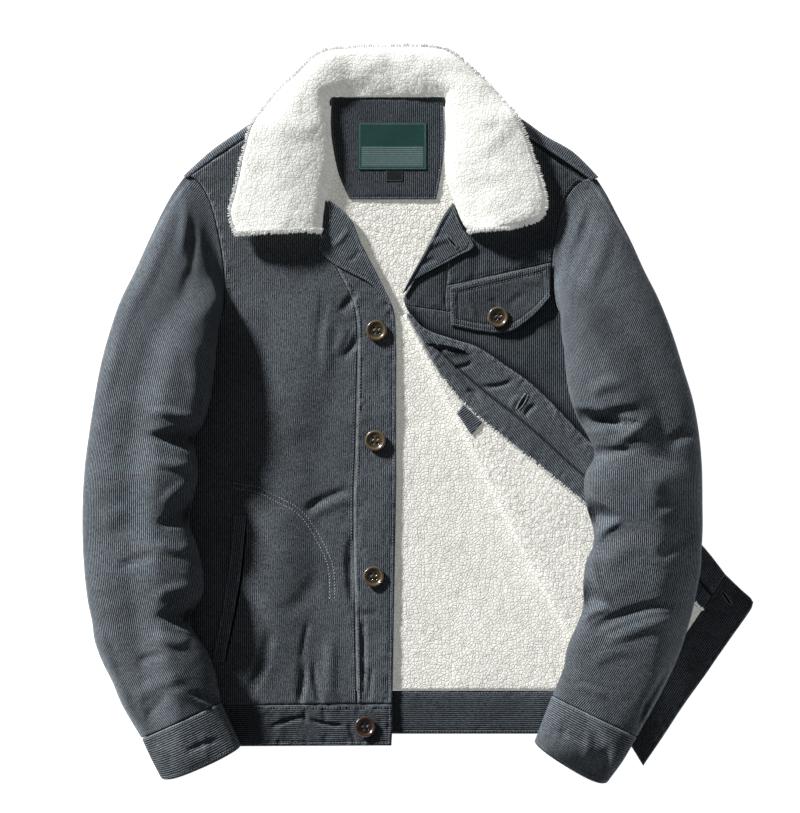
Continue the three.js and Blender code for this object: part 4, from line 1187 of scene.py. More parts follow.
# Painted shadow: the chest is darkened along the facing's edge, where the turned part shades it.
beside_facing = path_distance(list(zip(TURNED["edge_x"], TURNED["edge_y"])), *lower_chest["plan"])
lower_chest["dark"] = 0.9 * np.exp(-((beside_facing / 6) ** 2))
u, v = net(lerp(TURNED_START, 1, eased(200, 510)), np.concatenate([[0.2, 0.4, 0.7], 1 + eased(24, 56)]))
x, y = along_row(row_at(TURNED, u), TURNED_NAMES, v)
turned_low = turned_under(x, y)
under_facing = np.full(x.shape, TURNED_SHELL)
turned_shell = {
    "faces": flat_cloth(x, y, turned_low, turned_low + under_facing),
    "weave": wale_map(x, y, -52),
}
front_left = piece("front_left_cloth", [upper_chest, lower_chest, turned_shell], CORDUROY_SHADED)
dress(front_left, "corduroy", "front_left")
chest_lines = [inset_line(upper_chest["faces"][0], "top", inset) for inset in (2, 7)]
sewn("front_left_stitches", [*chest_lines, inset_line(upper_chest["faces"][0], "right", 4)])

u, v = net(lerp(TURNED_START, 1, eased(300, 510)), eased(96, 75) * 0.99)
row = row_at(TURNED, u)
x, y = along_row(row, TURNED_NAMES, v)
width = np.hypot(row["facing_x"] - row["turn_x"], row["facing_y"] - row["turn_y"])
from_turn = v * width
base = turned_under(x, y)
thick_round = (base + TURNED_THICK - FRONT_UNDER) / 2
down = thick_round * (1 - np.sqrt(np.clip(1 - (1 - np.clip(from_turn / thick_round, 0, 1)) ** 2, 0, 1)))
roll = 0.8 * np.exp(-((from_turn - 16) / 12) ** 2) + 1.1 * noise(x, y, 46, 8)
top = np.stack([x, y, base + TURNED_THICK - down + roll * ease(from_turn, 2, 14)], -1)
low = np.minimum(base + TURNED_PILE_UNDER, FRONT_UNDER + down)
low = lerp(FRONT_UNDER + down, base + TURNED_PILE_UNDER, ease(from_turn, TURN_ROUND, 2.2 * TURN_ROUND))
faces, pile = fleece(top, np.stack([x, y, low], -1), x * 0.79 - y * 0.61, x * 0.61 + y * 0.79, 23)
turned_lining = piece("turned_fleece", [{"faces": faces, "weave": np.stack([x, y], -1), "pile": pile}], SHERPA)
dress(turned_lining, "sherpa", "front_left_lining")

u, v = net(lerp(TURNED_START, 1, eased(330, 510)), 1 + eased(46, 56))
x, y = along_row(row_at(TURNED, u), TURNED_NAMES, v)
middle = np.stack([x, y, 0 * x], -1)
run, whole = run_along(middle, 1)
band = run / np.maximum(whole, 1)
seam_line = -2.2 * np.exp(-(((band - 0.42) * whole) / 1.5) ** 2) * ease(whole, 14, 24)
band_roll = 1.2 * np.exp(-(((band - 0.42) * whole - 4) / 3) ** 2) * ease(whole, 14, 24)
base = turned_under(x, y)
cloth = laid(
    x, y, base + TURNED_PILE_UNDER, turned_top(x, y) + seam_line + band_roll, -55, 75, 12, 0.7, sewn_at=(3,)
)
# Painted shade: the facing is darkened along its sunk seam line.
off_seam = np.minimum(np.abs((band - 0.42) * whole), 9)
cloth["dark"] = np.exp(-((off_seam / 1.3) ** 2)) * ease(whole, 14, 24)
facing = piece("facing_cloth", [cloth], CORDUROY)
dress(facing, "corduroy", "front_left_facing")
facing_face = cloth["faces"][0]
sewn("facing_stitches", [inset_line(facing_face, "right", 3), inset_line(facing_face, "left", 3)])

# The loop inside the facing: a short folded tape of the same corduroy that lies on the fleece.
u, v = net(lerp(0.29, 0.35, eased(18, 28)), lerp(0.35, 0.97, eased(16, 24)))
x, y = along_row(row_at(TURNED, u), TURNED_NAMES, v)
low = turned_under(x, y) + TURNED_THICK + 0.9
cloth = laid(x, y, low, low + 1.9 + ripple(x, y, 81, 0.3), 35, 76, 4, 0.3)
tab = piece("inside_tab_cloth", [cloth], CORDUROY)
dress(tab, "corduroy", "inside_tab")

# The left waistband: the end of the hem band, turned back with the front and lying beyond the
# sleeve, with its wales along it and slanting wrinkles across it.
WAISTBAND_LEFT = table("turn_x turn_y edge_x edge_y", [
    (211.8, -332.8, 321.8, -167.8),
    (224, -351, 338, -183),
    (235, -369, 354, -197),
])
WAISTBAND_LEFT_CREASES = table(CREASE_COLUMNS, [
    (286, -204, 322, -212, 3, 11, -2.6),
    (276, -222, 306, -236, 3, 12, -2.2),
    (300, -188, 336, -190, 3, 10, -2.0),
    (264, -248, 286, -272, 2, 12, -1.8),
    (262, -226, 300, -226, 3, 16, 1.8),
    (244, -284, 262, -300, 2, 12, 1.4),
    (230, -320, 248, -330, 2, 12, -1.5),
    (318, -176, 344, -196, 2, 9, -1.6),
])
u, v = net(eased(36, 42), eased(170, 200))
x, y = along_row(row_at(WAISTBAND_LEFT, u), ("turn", "edge"), v)
to_corner = np.hypot(x - WAISTBAND_LEFT["edge_x"][-1], y - WAISTBAND_LEFT["edge_y"][-1])
x = x - 2.6 * np.exp(-((to_corner / 5) ** 2)) + 0.7 * noise(x, y, 26, 86)
y = y + 0.7 * noise(x, y, 31, 87)
low = turned_under(x, y)
top = low + TURNED_THICK + crease_height(WAISTBAND_LEFT_CREASES, x, y) + ripple(x, y, 84, 0.6)
cloth = laid(x, y, low, top, 56, 77, 11, 0.9, sewn_at=(4,))
waistband_left_face = cloth["faces"][0]
waistband_left = piece("waistband_left_cloth", [cloth], CORDUROY_SHADED)
dress(waistband_left, "corduroy", "waistband_left")
waistband_lines = [inset_line(waistband_left_face, side, 4) for side in ("top", "bottom", "right")]
# These stitches take the darker thread, painted shade.
sewn("waistband_left_stitches", waistband_lines, THREAD_SHADED)

# The back waistband: the inside of the hem band, which shows below the lining.
u, v = net(eased(30, 46), eased(240, 475))
row = row_at(BACK_WAISTBAND, u)
x, y = lerp(row["left"], row["right"], v), row["y"]
top = np.minimum(BACK_BAND, flat_under(x, y) - 5 * GAP) + ripple(x, y, 31, 0.35)
cloth = laid(x, y, 0, top, 0, 32, 8, 0.5, sewn_at=(4,))
back_waistband = piece("back_waistband_cloth", [cloth], CORDUROY_SHADED)
dress(back_waistband, "corduroy", "back_waistband")
sewn("back_waistband_stitches", [inset_line(cloth["faces"][0], side, 4) for side in ("top", "bottom")])

# The neck patch: a corduroy facing sewn on the lining inside the neck, with its edges turned in.
TRIM = 2
NECK_PATCH = table("y left right", [
    (335, -93, 24),
    (304, -94, 25),
    (278, -91, 25),
    (252, -85, 22),
    (227, -74, 17),
])
u, v = net(eased(90, 108), eased(90, 110))
row = row_at(NECK_PATCH, u)
x, y = lerp(row["left"], row["right"], v), row["y"]
low = LINING_TOP + LAYER_GAP
cloth = laid(x, y, low, low + TRIM + ripple(x, y, 33, 0.3), 90, 34, 4, 0.35, sewn_at=(2.5,))
neck_patch = piece("neck_patch_cloth", [cloth], CORDUROY_SHADED)
dress(neck_patch, "corduroy", "neck_patch")
sewn("neck_patch_stitches", [inset_line(cloth["faces"][0], side, 2.5) for side in ("left", "right", "bottom")])

# The neck label: a damask-woven tape, dark green with a thin pale border and a paler striped band
# across its lower third, sewn flat on the patch, and a small black tab tucked under it.
LABEL_THICK = 0.8
SIZE_TAB_THICK = 0.6
LABEL_TOP = 308
LABEL_BOTTOM = 258
LABEL_LEFT = -65
LABEL_RIGHT = 7
LABEL_BAND = (261, 283)
LABEL_BORDER = 1.6
TAB_TOP = 257
TAB_BOTTOM = 246
TAB_LEFT = -36
TAB_RIGHT = -18


def woven(name, ground, figure, threads):
    """A fine satin weave of two colours: the mask on the points says where the figure shows."""
    made = bpy.data.materials.new(name)
    made.use_nodes = True
    tree = made.node_tree
    shader = tree.nodes["Principled BSDF"]
    place = add(tree, "ShaderNodeUVMap", uv_map="weave").outputs[0]
    mask = add(tree, "ShaderNodeAttribute", attribute_name="pile").outputs["Fac"]
    apart = add(tree, "ShaderNodeSeparateXYZ", {0: place}).outputs
    turns = [sums(tree, "MULTIPLY", apart[k], threads * math.tau) for k in (0, 1)]
    warp, weft = (sums(tree, "SINE", turn) for turn in turns)
    twill = sums(tree, "SINE", sums(tree, "ADD", turns[0], turns[1]))
    level = span(tree, sums(tree, "ADD", sums(tree, "MULTIPLY", warp, weft), twill), -2, 2, 0.72, 1.12)
    uneven = span(tree, speckle(tree, place, 260, 3.0), 0.3, 0.7, 0.85, 1.12)
    level = sums(tree, "MULTIPLY", level, uneven)
    grey = add(tree, "ShaderNodeCombineXYZ", {0: level, 1: level, 2: level}).outputs[0]
    color = mixed(tree, 1.0, mixed(tree, mask, ground, figure), grey, "MULTIPLY")
    tree.links.new(color, shader.inputs["Base Color"])
    bump = add(tree, "ShaderNodeBump", {"Height": level, "Distance": 0.15 * MM})
    tree.links.new(bump.outputs[0], shader.inputs["Normal"])
    shader.inputs["Roughness"].default_value = 0.6
    shader.inputs["Specular IOR Level"].default_value = 0.3
    return made


GREEN_WEAVE = woven("green_weave", (0.006, 0.046, 0.042, 1), (0.2, 0.26, 0.27, 1), 1500)
BLACK_WEAVE = woven("black_weave", (0.006, 0.007, 0.009, 1), (0.3, 0.3, 0.3, 1), 1500)
LABEL_UNDER = LINING_TOP + LAYER_GAP + TRIM + GAP

border_steps = np.linspace(0, 4, 15)
middle_steps = np.linspace(LABEL_LEFT + 6, LABEL_RIGHT - 6, 24)
label_columns = np.concatenate([LABEL_LEFT + border_steps, middle_steps, LABEL_RIGHT - border_steps[::-1]])
y, x = net(np.linspace(LABEL_TOP, LABEL_BOTTOM, 150), label_columns)
faces = flat_cloth(x, y, LABEL_UNDER, LABEL_UNDER + LABEL_THICK + 0.25 * noise(x, y, 22, 35))
from_edge = np.minimum(np.minimum(x - LABEL_LEFT, LABEL_RIGHT - x), np.minimum(LABEL_TOP - y, y - LABEL_BOTTOM))
border = np.exp(-(((from_edge - LABEL_BORDER) / 0.35) ** 2))
in_band = ease(y, LABEL_BAND[0], LABEL_BAND[0] + 1) * (1 - ease(y, LABEL_BAND[1] - 0.8, LABEL_BAND[1]))
in_band = in_band * ease(from_edge, 3.2, 4)
stripes = 0.55 + 0.45 * np.cos(y * math.tau / 2.2)
mask = np.clip(0.55 * border + in_band * stripes * 0.75, 0, 1)
label = piece("neck_label_weave", [{"faces": faces, "weave": np.stack([x, y], -1), "pile": mask}], GREEN_WEAVE)
dress(label, "label", "neck_label")

y, x = net(np.linspace(TAB_TOP, TAB_BOTTOM, 40), np.linspace(TAB_LEFT, TAB_RIGHT, 60))
faces = flat_cloth(x, y, LABEL_UNDER, LABEL_UNDER + SIZE_TAB_THICK)
tab_edge = np.minimum(np.minimum(x - TAB_LEFT, TAB_RIGHT - x), y - TAB_BOTTOM)
mask = 0.25 * np.exp(-(((tab_edge - 0.7) / 0.3) ** 2))
size_tab = piece("size_tab_weave", [{"faces": faces, "weave": np.stack([x, y], -1), "pile": mask}], BLACK_WEAVE)
dress(size_tab, "size_tab", "size_tab")

# The turned corners of the fronts below the collar: single pieces of corduroy with rolled edges.
LAPEL_LIFT = 0.7
LAPEL_RIGHT = table("in_x in_y out_x out_y", [
    (-96, 226, -97, 224),
    (-83, 217, -96, 203),
    (-71, 203, -106, 176),
    (-62, 181, -93, 161),
    (-50, 158, -74, 150),
    (-39, 136, -52, 138),
    (-29, 115, -34, 118),
])
LAPEL_LEFT = table("in_x in_y out_x out_y", [
    (34, 223, 36, 222),
    (24, 209, 44, 197),
    (13, 188, 57, 178),
    (2, 167, 40, 167),
    (-8, 149, 17, 155),
    (-14, 137, -2, 145),
    (-19, 127, -14, 131),
])
LAPEL_CREASES = table(CREASE_COLUMNS, [
    (-74, 198, -94, 176, 2, 10, 1.4),
    (-62, 176, -78, 160, 2, 8, -1.0),
    (6, 176, 34, 186, 2, 12, 1.2),
    (0, 156, 20, 164, 2, 9, -1.0),
])
lapels = {}
for side, rows, grain, seed in (("right", LAPEL_RIGHT, 62, 91), ("left", LAPEL_LEFT, 118, 92)):
    u, v = net(eased(110, 120), eased(44, 40))
    x, y = along_row(row_at(rows, u), ("in", "out"), v)
    roll = 1.6 * np.exp(-((v * 40) / 6) ** 2) * ease(u, 0.1, 0.3)
    low = FRONT_TOP + LAPEL_LIFT + 0 * x
    top = low + SHELL + roll + crease_height(LAPEL_CREASES, x, y)
    cloth = laid(x, y, low, top, grain, seed, 5, 0.4, sewn_at=(5,))
    lapels[side] = cloth["faces"][0]
    lapel = piece(f"lapel_{side}_cloth", [cloth], CORDUROY)
    dress(lapel, "corduroy", f"lapel_{side}")
    sewn(f"lapel_{side}_stitches", [inset_line(lapels[side], "right", 5)])

# The shoulders: the back is brought forward over each one and joined to the front in a seam.
SHOULDER_RIGHT = table("seam_x seam_y fold_x fold_y", [
    (-244, 249.4, -250, 251.6),
    (-215, 271.2, -220, 278.6),
    (-184, 292.1, -191, 299),
    (-166, 304.3, -172, 312),
    (-147, 317.2, -151, 325),
])
SHOULDER_LEFT = table("seam_x seam_y fold_x fold_y", [
    (181, 247, 188.5, 250.5),
    (152, 267.7, 162, 277),
    (126, 284.9, 133, 294),
    (105, 298.7, 112, 309),
    (84, 312.6, 90, 322),
])
SHOULDER_SECTION = table("along top under", [
    (0, 13.4, 10.4),
    (0.4, 13.2, 10.2),
    (0.75, 11.6, 8.4),
    (0.93, 9, 5.4),
    (1, 6, 2.9),
])
for side, rows, grain in (("right", SHOULDER_RIGHT, 34), ("left", SHOULDER_LEFT, 146)):
    u, v = net(eased(110, 110), np.linspace(0, 1, 17))
    section = row_at(SHOULDER_SECTION, v)
    x, y = along_row(row_at(rows, u), ("seam", "fold"), section["along"])
    cloth = laid(x, y, section["under"], section["top"], grain + 90, 93, 3, 0.3)
    shoulder = piece(f"shoulder_{side}_cloth", [cloth], CORDUROY)
    dress(shoulder, "corduroy", f"shoulder_{side}")
    sewn(f"shoulder_{side}_stitches", [inset_line(cloth["faces"][0], "left", 3)])

# The chest pocket's flap: two layers of corduroy turned out and topstitched, coming to a point
# where its button holds it. Its lower edge stands a little off the chest.
FLAP_LIFT = 4
POCKET_FLAP = table("x top bottom", [
    (32, 134, 94),
    (47, 138, 91),
    (63, 142, 88),
    (84, 147, 86),
    (100, 151, 90),
    (121, 156, 106),
    (137, 160, 124),
])
FLAP_CREASES = table(CREASE_COLUMNS, [
    (46, 130, 58, 98, 2, 12, 1.0),
    (72, 122, 82, 112, 2, 10, -1.2),
    (92, 112, 112, 128, 2, 12, -1.0),
    (104, 140, 128, 138, 2, 12, 0.9),
])
flap_rows = {"in_x": POCKET_FLAP["x"], "in_y": POCKET_FLAP["top"],
             "out_x": POCKET_FLAP["x"], "out_y": POCKET_FLAP["bottom"]}
u, v = net(eased(120, 105), eased(64, 50))
x, y = along_row(row_at(flap_rows, u), ("in", "out"), v)
low = FRONT_TOP + LAYER_GAP + FLAP_LIFT * v ** 2 * ease(u, 0.2, 1)
swell = 0.9 * np.exp(-((border_depth(np.stack([x, y, 0 * x], -1)) - 3) / 3) ** 2)
cloth = laid(x, y, low, low + SHELL + swell + crease_height(FLAP_CREASES, x, y), 92, 94, 6, 0.5, sewn_at=(3, 8))
flap_face = cloth["faces"][0]
flap = piece("pocket_flap_cloth", [cloth], CORDUROY_SHADED)
dress(flap, "corduroy", "pocket_flap")
flap_lines = [(side, inset) for side in ("bottom", "top", "left", "right") for inset in (3, 8) if side != "top" or inset == 3]
sewn("pocket_flap_stitches", [
    line[(border_depth_at > inset - 0.6)]
    for side, inset in flap_lines
    for line in [inset_line(flap_face, side, inset)]
    for border_depth_at in [np.minimum(line[:, 0] - 32, 137 - line[:, 0]) if side in ("top", "bottom")
                            else np.full(len(line), 99.0)]
])

# The sleeves: two-piece tubes of corduroy that still hold the bend of an arm. The cloth sinks
# in wedges that are open at the inner edge, and their lower lips stand up and catch the light.
SLEEVE_WALL = 2.6
SLEEVE_CLEARANCE = 1.4
SEAM_MIDDLE = 8
SEAM_HALF = 5.4
HIGHLIGHT_DOWN = 150
SLEEVE_TURNS = np.linspace(-math.pi, math.pi, 145)
WEDGE_COLUMNS = "tip_x tip_y mouth_x mouth_y width deep"
SLEEVE_RIGHT_WEDGES = table(WEDGE_COLUMNS, [
    (-293, -21, -230, -26, 34, 17),
    (-277, -116, -232, -98, 46, 19),
    (-281, -210, -232, -211, 42, 17),
    (-252, -288, -211, -300, 18, 7),
])
SLEEVE_LEFT_WEDGES = table(WEDGE_COLUMNS, [
    (238, -10, 176, -5, 26, 13),
    (213, -106, 172, -106, 44, 17),
    (199, -200, 168, -188, 42, 15),
    (240, -34, 186, -40, 18, 5),
])
SLEEVE_RIGHT_CREASES = table(CREASE_COLUMNS, [
    (-262, 222, -318, 92, 8, 24, 3.2),
    (-312, 110, -338, 10, 3, 26, 2.4),
    (-345, -206, -298, -332, -4, 24, 3.4),
    (-247, 232, -253, 160, 2, 14, 3.0),
    (-238, 214, -242, 140, 2, 13, -2.6),
    (-241, 84, -228, 0, 0, 30, 3.0),
    (-241, 156, -252, 112, 0, 18, -2.4),
    (-291, 2, -230, -6, 4, 16, 4.0),
    (-228, -2, -222, 26, 0, 14, 2.6),
    (-284, -46, -236, -52, -3, 16, 3.2),
    (-276, -132, -240, -140, -4, 18, 3.6),
    (-272, -98, -238, -70, 3, 18, 3.0),
    (-282, -228, -240, -238, -4, 18, 3.8),
    (-280, -192, -236, -180, 3, 18, 3.0),
    (-297, -260, -266, -251, 2, 14, -2.8),
    (-318, -162, -275, -146, 2, 16, -2.6),
    (-325, -40, -290, -60, 6, 34, -2.4),
    (-333, -120, -300, -100, 6, 30, 1.8),
    (-258, -286, -216, -310, 2, 14, 2.6),
    (-300, -300, -240, -272, 5, 22, 2.0),
    (-288, -322, -262, -292, 2, 13, -2.2),
])
SLEEVE_LEFT_CREASES = table(CREASE_COLUMNS, [
    (182, 230, 148, 144, 5, 18, -3.6),
    (200, 214, 168, 120, 4, 26, 2.6),
    (206, 216, 274, 58, 10, 22, 3.2),
    (268, 70, 294, -14, 3, 22, 2.4),
    (176, -8, 234, 5, 3, 18, -4.6),
    (198, -30, 246, 2, -4, 18, 3.8),
    (176, 22, 216, 34, 4, 22, 3.0),
    (258, -32, 291, -16, 2, 20, -3.4),
    (248, -152, 290, -126, 4, 20, -3.6),
    (174, -228, 286, -196, 9, 16, -5.2),
    (186, -246, 280, -214, 8, 18, 3.2),
    (172, -74, 213, -108, -5, 15, 3.4),
    (213, -108, 182, -134, -4, 15, 3.8),
    (178, -144, 199, -200, -5, 15, 3.0),
    (199, -200, 168, -216, -3, 15, 3.6),
    (190, -160, 236, -130, 5, 30, 2.6),
    (236, -80, 280, -60, 5, 30, 2.4),
    (240, -104, 285, -86, 4, 18, -2.2),
    (176, -262, 226, -244, 4, 20, 2.2),
    (262, -262, 227, -326, -2, 9, -3.2),
    (238, -296, 231, -322, 0, 7, -2.2),
    (160, -284, 196, -296, 3, 14, 2.0),
])
BODY_OUTLINE = [
    (SLEEVE_RIGHT["inner_x"][0], SLEEVE_RIGHT["inner_y"][0]),
    *zip(SIDES["left"], SIDES["y"]),
    (-238, -349),
    (-30, -348),
    *zip(SIDES["right"][::-1], SIDES["y"][::-1]),
    (SLEEVE_LEFT["inner_x"][0], SLEEVE_LEFT["inner_y"][0]),
]
TURNED_OUTLINE = [
    *zip(TURNED["turn_x"], TURNED["turn_y"]),
    (235, -369),
    (354, -197),
    *zip(TURNED["edge_x"][::-1], TURNED["edge_y"][::-1]),
]


def depth_inside(outline, x, y):
    """How far places lie inside an outline, below zero outside it."""
    inside = np.zeros(np.shape(x), bool)
    for (ax, ay), (bx, by) in zip(outline, outline[1:] + outline[:1]):
        crossed = (ay > y) != (by > y)
        inside ^= crossed & (x < ax + (y - ay) / ((by - ay) or 1) * (bx - ax))
    nearest = path_distance(outline + outline[:1], x, y)
    return np.where(inside, nearest, -nearest)


def sleeve_rest(x, y):
    """What the underside of a sleeve lies on, with a clearance."""
    body = (FRONT_TOP + SLEEVE_CLEARANCE) * ease(depth_inside(BODY_OUTLINE, x, y), -46, -8)
    on_turned = ease(depth_inside(TURNED_OUTLINE, x, y), -46, -12)
    return np.maximum(body, (turned_under(x, y) + TURNED_THICK + SLEEVE_CLEARANCE) * on_turned)


def wedge_depth(wedges, x, y):
    """How deep the wedges, closed at the tip and open at the mouth, sink the cloth."""
    deep = np.zeros(np.shape(x))
    for k in range(len(wedges["deep"])):
        wedge = {name: values[k] for name, values in wedges.items()}
        way_x, way_y = wedge["mouth_x"] - wedge["tip_x"], wedge["mouth_y"] - wedge["tip_y"]
        length = math.hypot(way_x, way_y)
        way_x, way_y = way_x / length, way_y / length
        along = ((x - wedge["tip_x"]) * way_x + (y - wedge["tip_y"]) * way_y) / length
        across = np.abs((y - wedge["tip_y"]) * way_x - (x - wedge["tip_x"]) * way_y)
        reach = wedge["width"] / 2 * lerp(0.16, 1, np.clip(along, 0, 1))
        sunk = np.clip(1 - (across / reach) ** 2, 0, 1) ** 1.5
        deep += np.where(along > 0, wedge["deep"] * ease(along, 0, 0.7) * sunk, 0)
    return deep


def sleeve_faces(rows, count, wall, wedges, creases, seed, swell=0, from_seam=True):
    """Both faces of a tube that lies flat, with the plan of its outer face and its way round."""
    u, turn = net(eased(count, 480), SLEEVE_TURNS)
    row = row_at(rows, u)
    rests = {}
    for inset in (0, wall):
        x, y, lift = ring_plan(row, turn, inset, sleeve_way(rows))
        up = np.abs(lift)
        edge_high = row["high"] * SLEEVE_EDGE
        top = edge_high + (row["high"] - edge_high) * up ** SLEEVE_TOP_POWER - inset * up
        under = edge_high * (1 - up) ** 2 + inset * up
        folds = crease_height(creases, x, y) - wedge_depth(wedges, x, y) + ripple(x, y, seed, 0.8)
        folds += 1.3 * noise(x, y, 70, seed + 4) + swell * np.sin(np.clip(u, 0, 1) * math.pi)
        above = top + folds * ease(lift, 0, 0.55)
        below = under + 0.5 * np.maximum(0, crease_height(creases, x, y)) * ease(-lift, 0.1, 0.7)
        laid_high = sleeve_rest(x, y) + np.where(lift >= 0, above, below)
        if from_seam:
            plan = np.stack([x, y], -1)
            reach = lerp(8, 30, ease(np.cos(turn), -1, 0.2))
            seam_high = SEAM_MIDDLE + np.sign(lift) * (SEAM_HALF * up ** 0.6 - inset)
            laid_high = lerp(seam_high, laid_high, ease(run_along(plan, 0)[0] / reach, 0, 1))
        rests[inset] = np.stack([x, y, laid_high], -1)
    bare = np.stack([rests[0][..., 0], rests[0][..., 1], top], -1)
    run, whole = run_along(bare, 1)
    round_way = run - run[:, run.shape[1] // 2][:, None]
    outer_edge = rests[0][:, rests[0].shape[1] // 2]
    down_way = np.concatenate([[0], np.cumsum(np.linalg.norm(np.diff(outer_edge, axis=0), axis=-1))])
    return rests[0], rests[wall], round_way, down_way[:, None] + 0 * run


sleeve_nets = {}
for side, rows, wedges, creases, seed in (
    ("right", SLEEVE_RIGHT, SLEEVE_RIGHT_WEDGES, SLEEVE_RIGHT_CREASES, 101),
    ("left", SLEEVE_LEFT, SLEEVE_LEFT_WEDGES, SLEEVE_LEFT_CREASES, 111),
):
    outer, inner, round_way, down_way = sleeve_faces(rows, 215, SLEEVE_WALL, wedges, creases, seed)
    outer, inner = soften(outer, inner, True)
    sleeve_nets[side] = outer
    depth = border_depth(outer, True)
    from_inner = np.abs(np.abs(round_way) - np.abs(round_way).max(axis=1, keepdims=True))
    # Painted highlights: pale bands along the upper inner edge and by the outer seam, where the sleeve catches the
    # light.
    rubbed_and_highlight = 0.8 * np.exp(-(((from_inner - 2) / 1.6) ** 2)) * (1 - ease(down_way, HIGHLIGHT_DOWN, HIGHLIGHT_DOWN + 60))
    rubbed_and_highlight += 0.5 * np.exp(-(((np.abs(round_way) - 9) / 2) ** 2))
    cloth = {
        "faces": (outer, inner),
        "weave": np.stack([round_way, down_way], -1),
        "wear_and_highlight": 0.1 * np.exp(-((depth / 1.7) ** 2)) + rubbed_and_highlight,
        "closed": True,
    }
    sleeve = piece(f"sleeve_{side}_cloth", [cloth], CORDUROY_SLEEVE)
    dress(sleeve, "corduroy", f"sleeve_{side}")

# The cuffs: doubled bands, cut with the ribs running round the wrist and topstitched by the hem.
CUFF_WALL = 4
CUFF_RIGHT = table(SLEEVE_COLUMNS, [
    (-292.8, -340.6, -208.8, -301.6, 0, 36),
    (-282, -364, -198, -326, -3, 32),
    (-272, -383, -188, -348, -5, 30),
])
CUFF_LEFT = table(SLEEVE_COLUMNS, [
    (227.7, -337.6, 138.7, -294.6, 0, 36),
    (213, -363, 129, -320, -5, 32),
    (197, -387, 120, -344, -6, 30),
])
CUFF_CREASES = table(CREASE_COLUMNS, [
    (-246, -354, -209, -340, 2, 10, -2.4),
    (-280, -350, -262, -360, 2, 12, 1.4),
    (-230, -330, -224, -362, 2, 12, 1.2),
    (-270, -342, -262, -374, 2, 12, -1.2),
    (150, -318, 148, -344, 2, 12, -1.2),
    (176, -326, 172, -366, 2, 14, 1.4),
    (198, -340, 190, -376, 2, 12, -1.6),
    (140, -330, 176, -346, 2, 10, -1.2),
])
NO_WEDGES = table(WEDGE_COLUMNS, [(0, 0, 1, 0, 1, 0)])
cuff_nets = {}
for side, rows, seed in (("right", CUFF_RIGHT, 121), ("left", CUFF_LEFT, 122)):
    outer, inner, round_way, down_way = sleeve_faces(rows, 44, CUFF_WALL, NO_WEDGES, CUFF_CREASES, seed, 0.8, False)
    outer, inner = soften(outer, inner, True)
    cuff_nets[side] = outer
    depth = border_depth(outer, True)
    cloth = {
        "faces": (outer, inner),
        "weave": np.stack([down_way, round_way], -1),
        "wear_and_highlight": 0.5 * np.exp(-((depth / 2.0) ** 2)),
        "closed": True,
    }
    cuff = piece(f"cuff_{side}_cloth", [cloth], CORDUROY)
    dress(cuff, "corduroy", f"cuff_{side}")
    sewn(f"cuff_{side}_stitches", [inset_line(outer, "bottom", 5), inset_line(outer, "top", 3)])

# The collar: one long strip of the deepest sherpa that stands up out of the neck, rolls over and
# lies out to two points on the fronts. At the back neck it is turned under itself.
COLLAR_WALL = 6
COLLAR_TUCKED_WALL = 3
COLLAR = table("neck_x neck_y edge_x edge_y fall", [
    (-103, 194, -193, 190, 0),
    (-100, 218, -200, 213, 0),
    (-94, 245, -194, 239, 0),
    (-92, 273, -186, 273, 0),
    (-93, 302, -176, 306, 0),
    (-93, 320, -155, 335, 0.7),
    (-92.5, 333, -130, 361, 1.2),
    (-76, 333.5, -106, 381, 1.6),
    (-56, 333.5, -76, 387, 1.9),
    (-35, 333.5, -35, 388, 2),
    (-12, 333.5, 0, 388, 1.9),
    (8, 333.5, 28, 385, 1.6),
    (25, 333, 53, 367, 1.2),
    (25, 320, 78, 340, 0.7),
    (26, 297, 101, 314, 0),
    (25, 271, 117, 278, 0),
    (27, 247, 127, 247, 0),
    (35, 225, 132, 223, 0),
    (43, 204, 124, 206, 0),
    (50, 194, 94, 198, 0),
])
COLLAR_SECTION = table("wing_along wing_high drop_along drop_high back_along back_high", [
    (0, 15, 0, 13, 0, 11),
    (0.04, 20, 0.1, 19, 0.2, 16),
    (0.14, 26, 0.28, 26, 0.45, 21),
    (0.35, 31, 0.5, 28, 0.72, 23),
    (0.58, 33, 0.76, 26, 0.93, 20),
    (0.8, 32, 0.93, 19, 0.99, 10),
    (0.93, 30, 0.985, 11, 0.93, 2),
    (0.98, 28.5, 1, 6, 0.55, 0.4),
    (1, 27, 1, 2.5, 0.15, 0.4),
])
COLLAR_SHERPA = sherpa("collar_sherpa", (0.645, 0.65, 0.615, 1), (0.43, 0.425, 0.39, 1), 0.3)
u, v = net(np.linspace(0, 1, 330), np.linspace(0, 1, 110))
row = row_at(COLLAR, u)
length = np.hypot(row["edge_x"] - row["neck_x"], row["edge_y"] - row["neck_y"])
dropped, tucked = np.clip(row["fall"], 0, 1), np.clip(row["fall"] - 1, 0, 1)
spot = row_at(COLLAR_SECTION, v)
along = length * lerp(lerp(spot["wing_along"], spot["drop_along"], dropped), spot["back_along"], tucked)
high = lerp(lerp(spot["wing_high"], spot["drop_high"], dropped), spot["back_high"], tucked)


def collar_place(along, high):
    share = along / length
    x = lerp(row["neck_x"], row["edge_x"], share)
    y = lerp(row["neck_y"], row["edge_y"], share)
    return np.stack([x, y, high], -1)


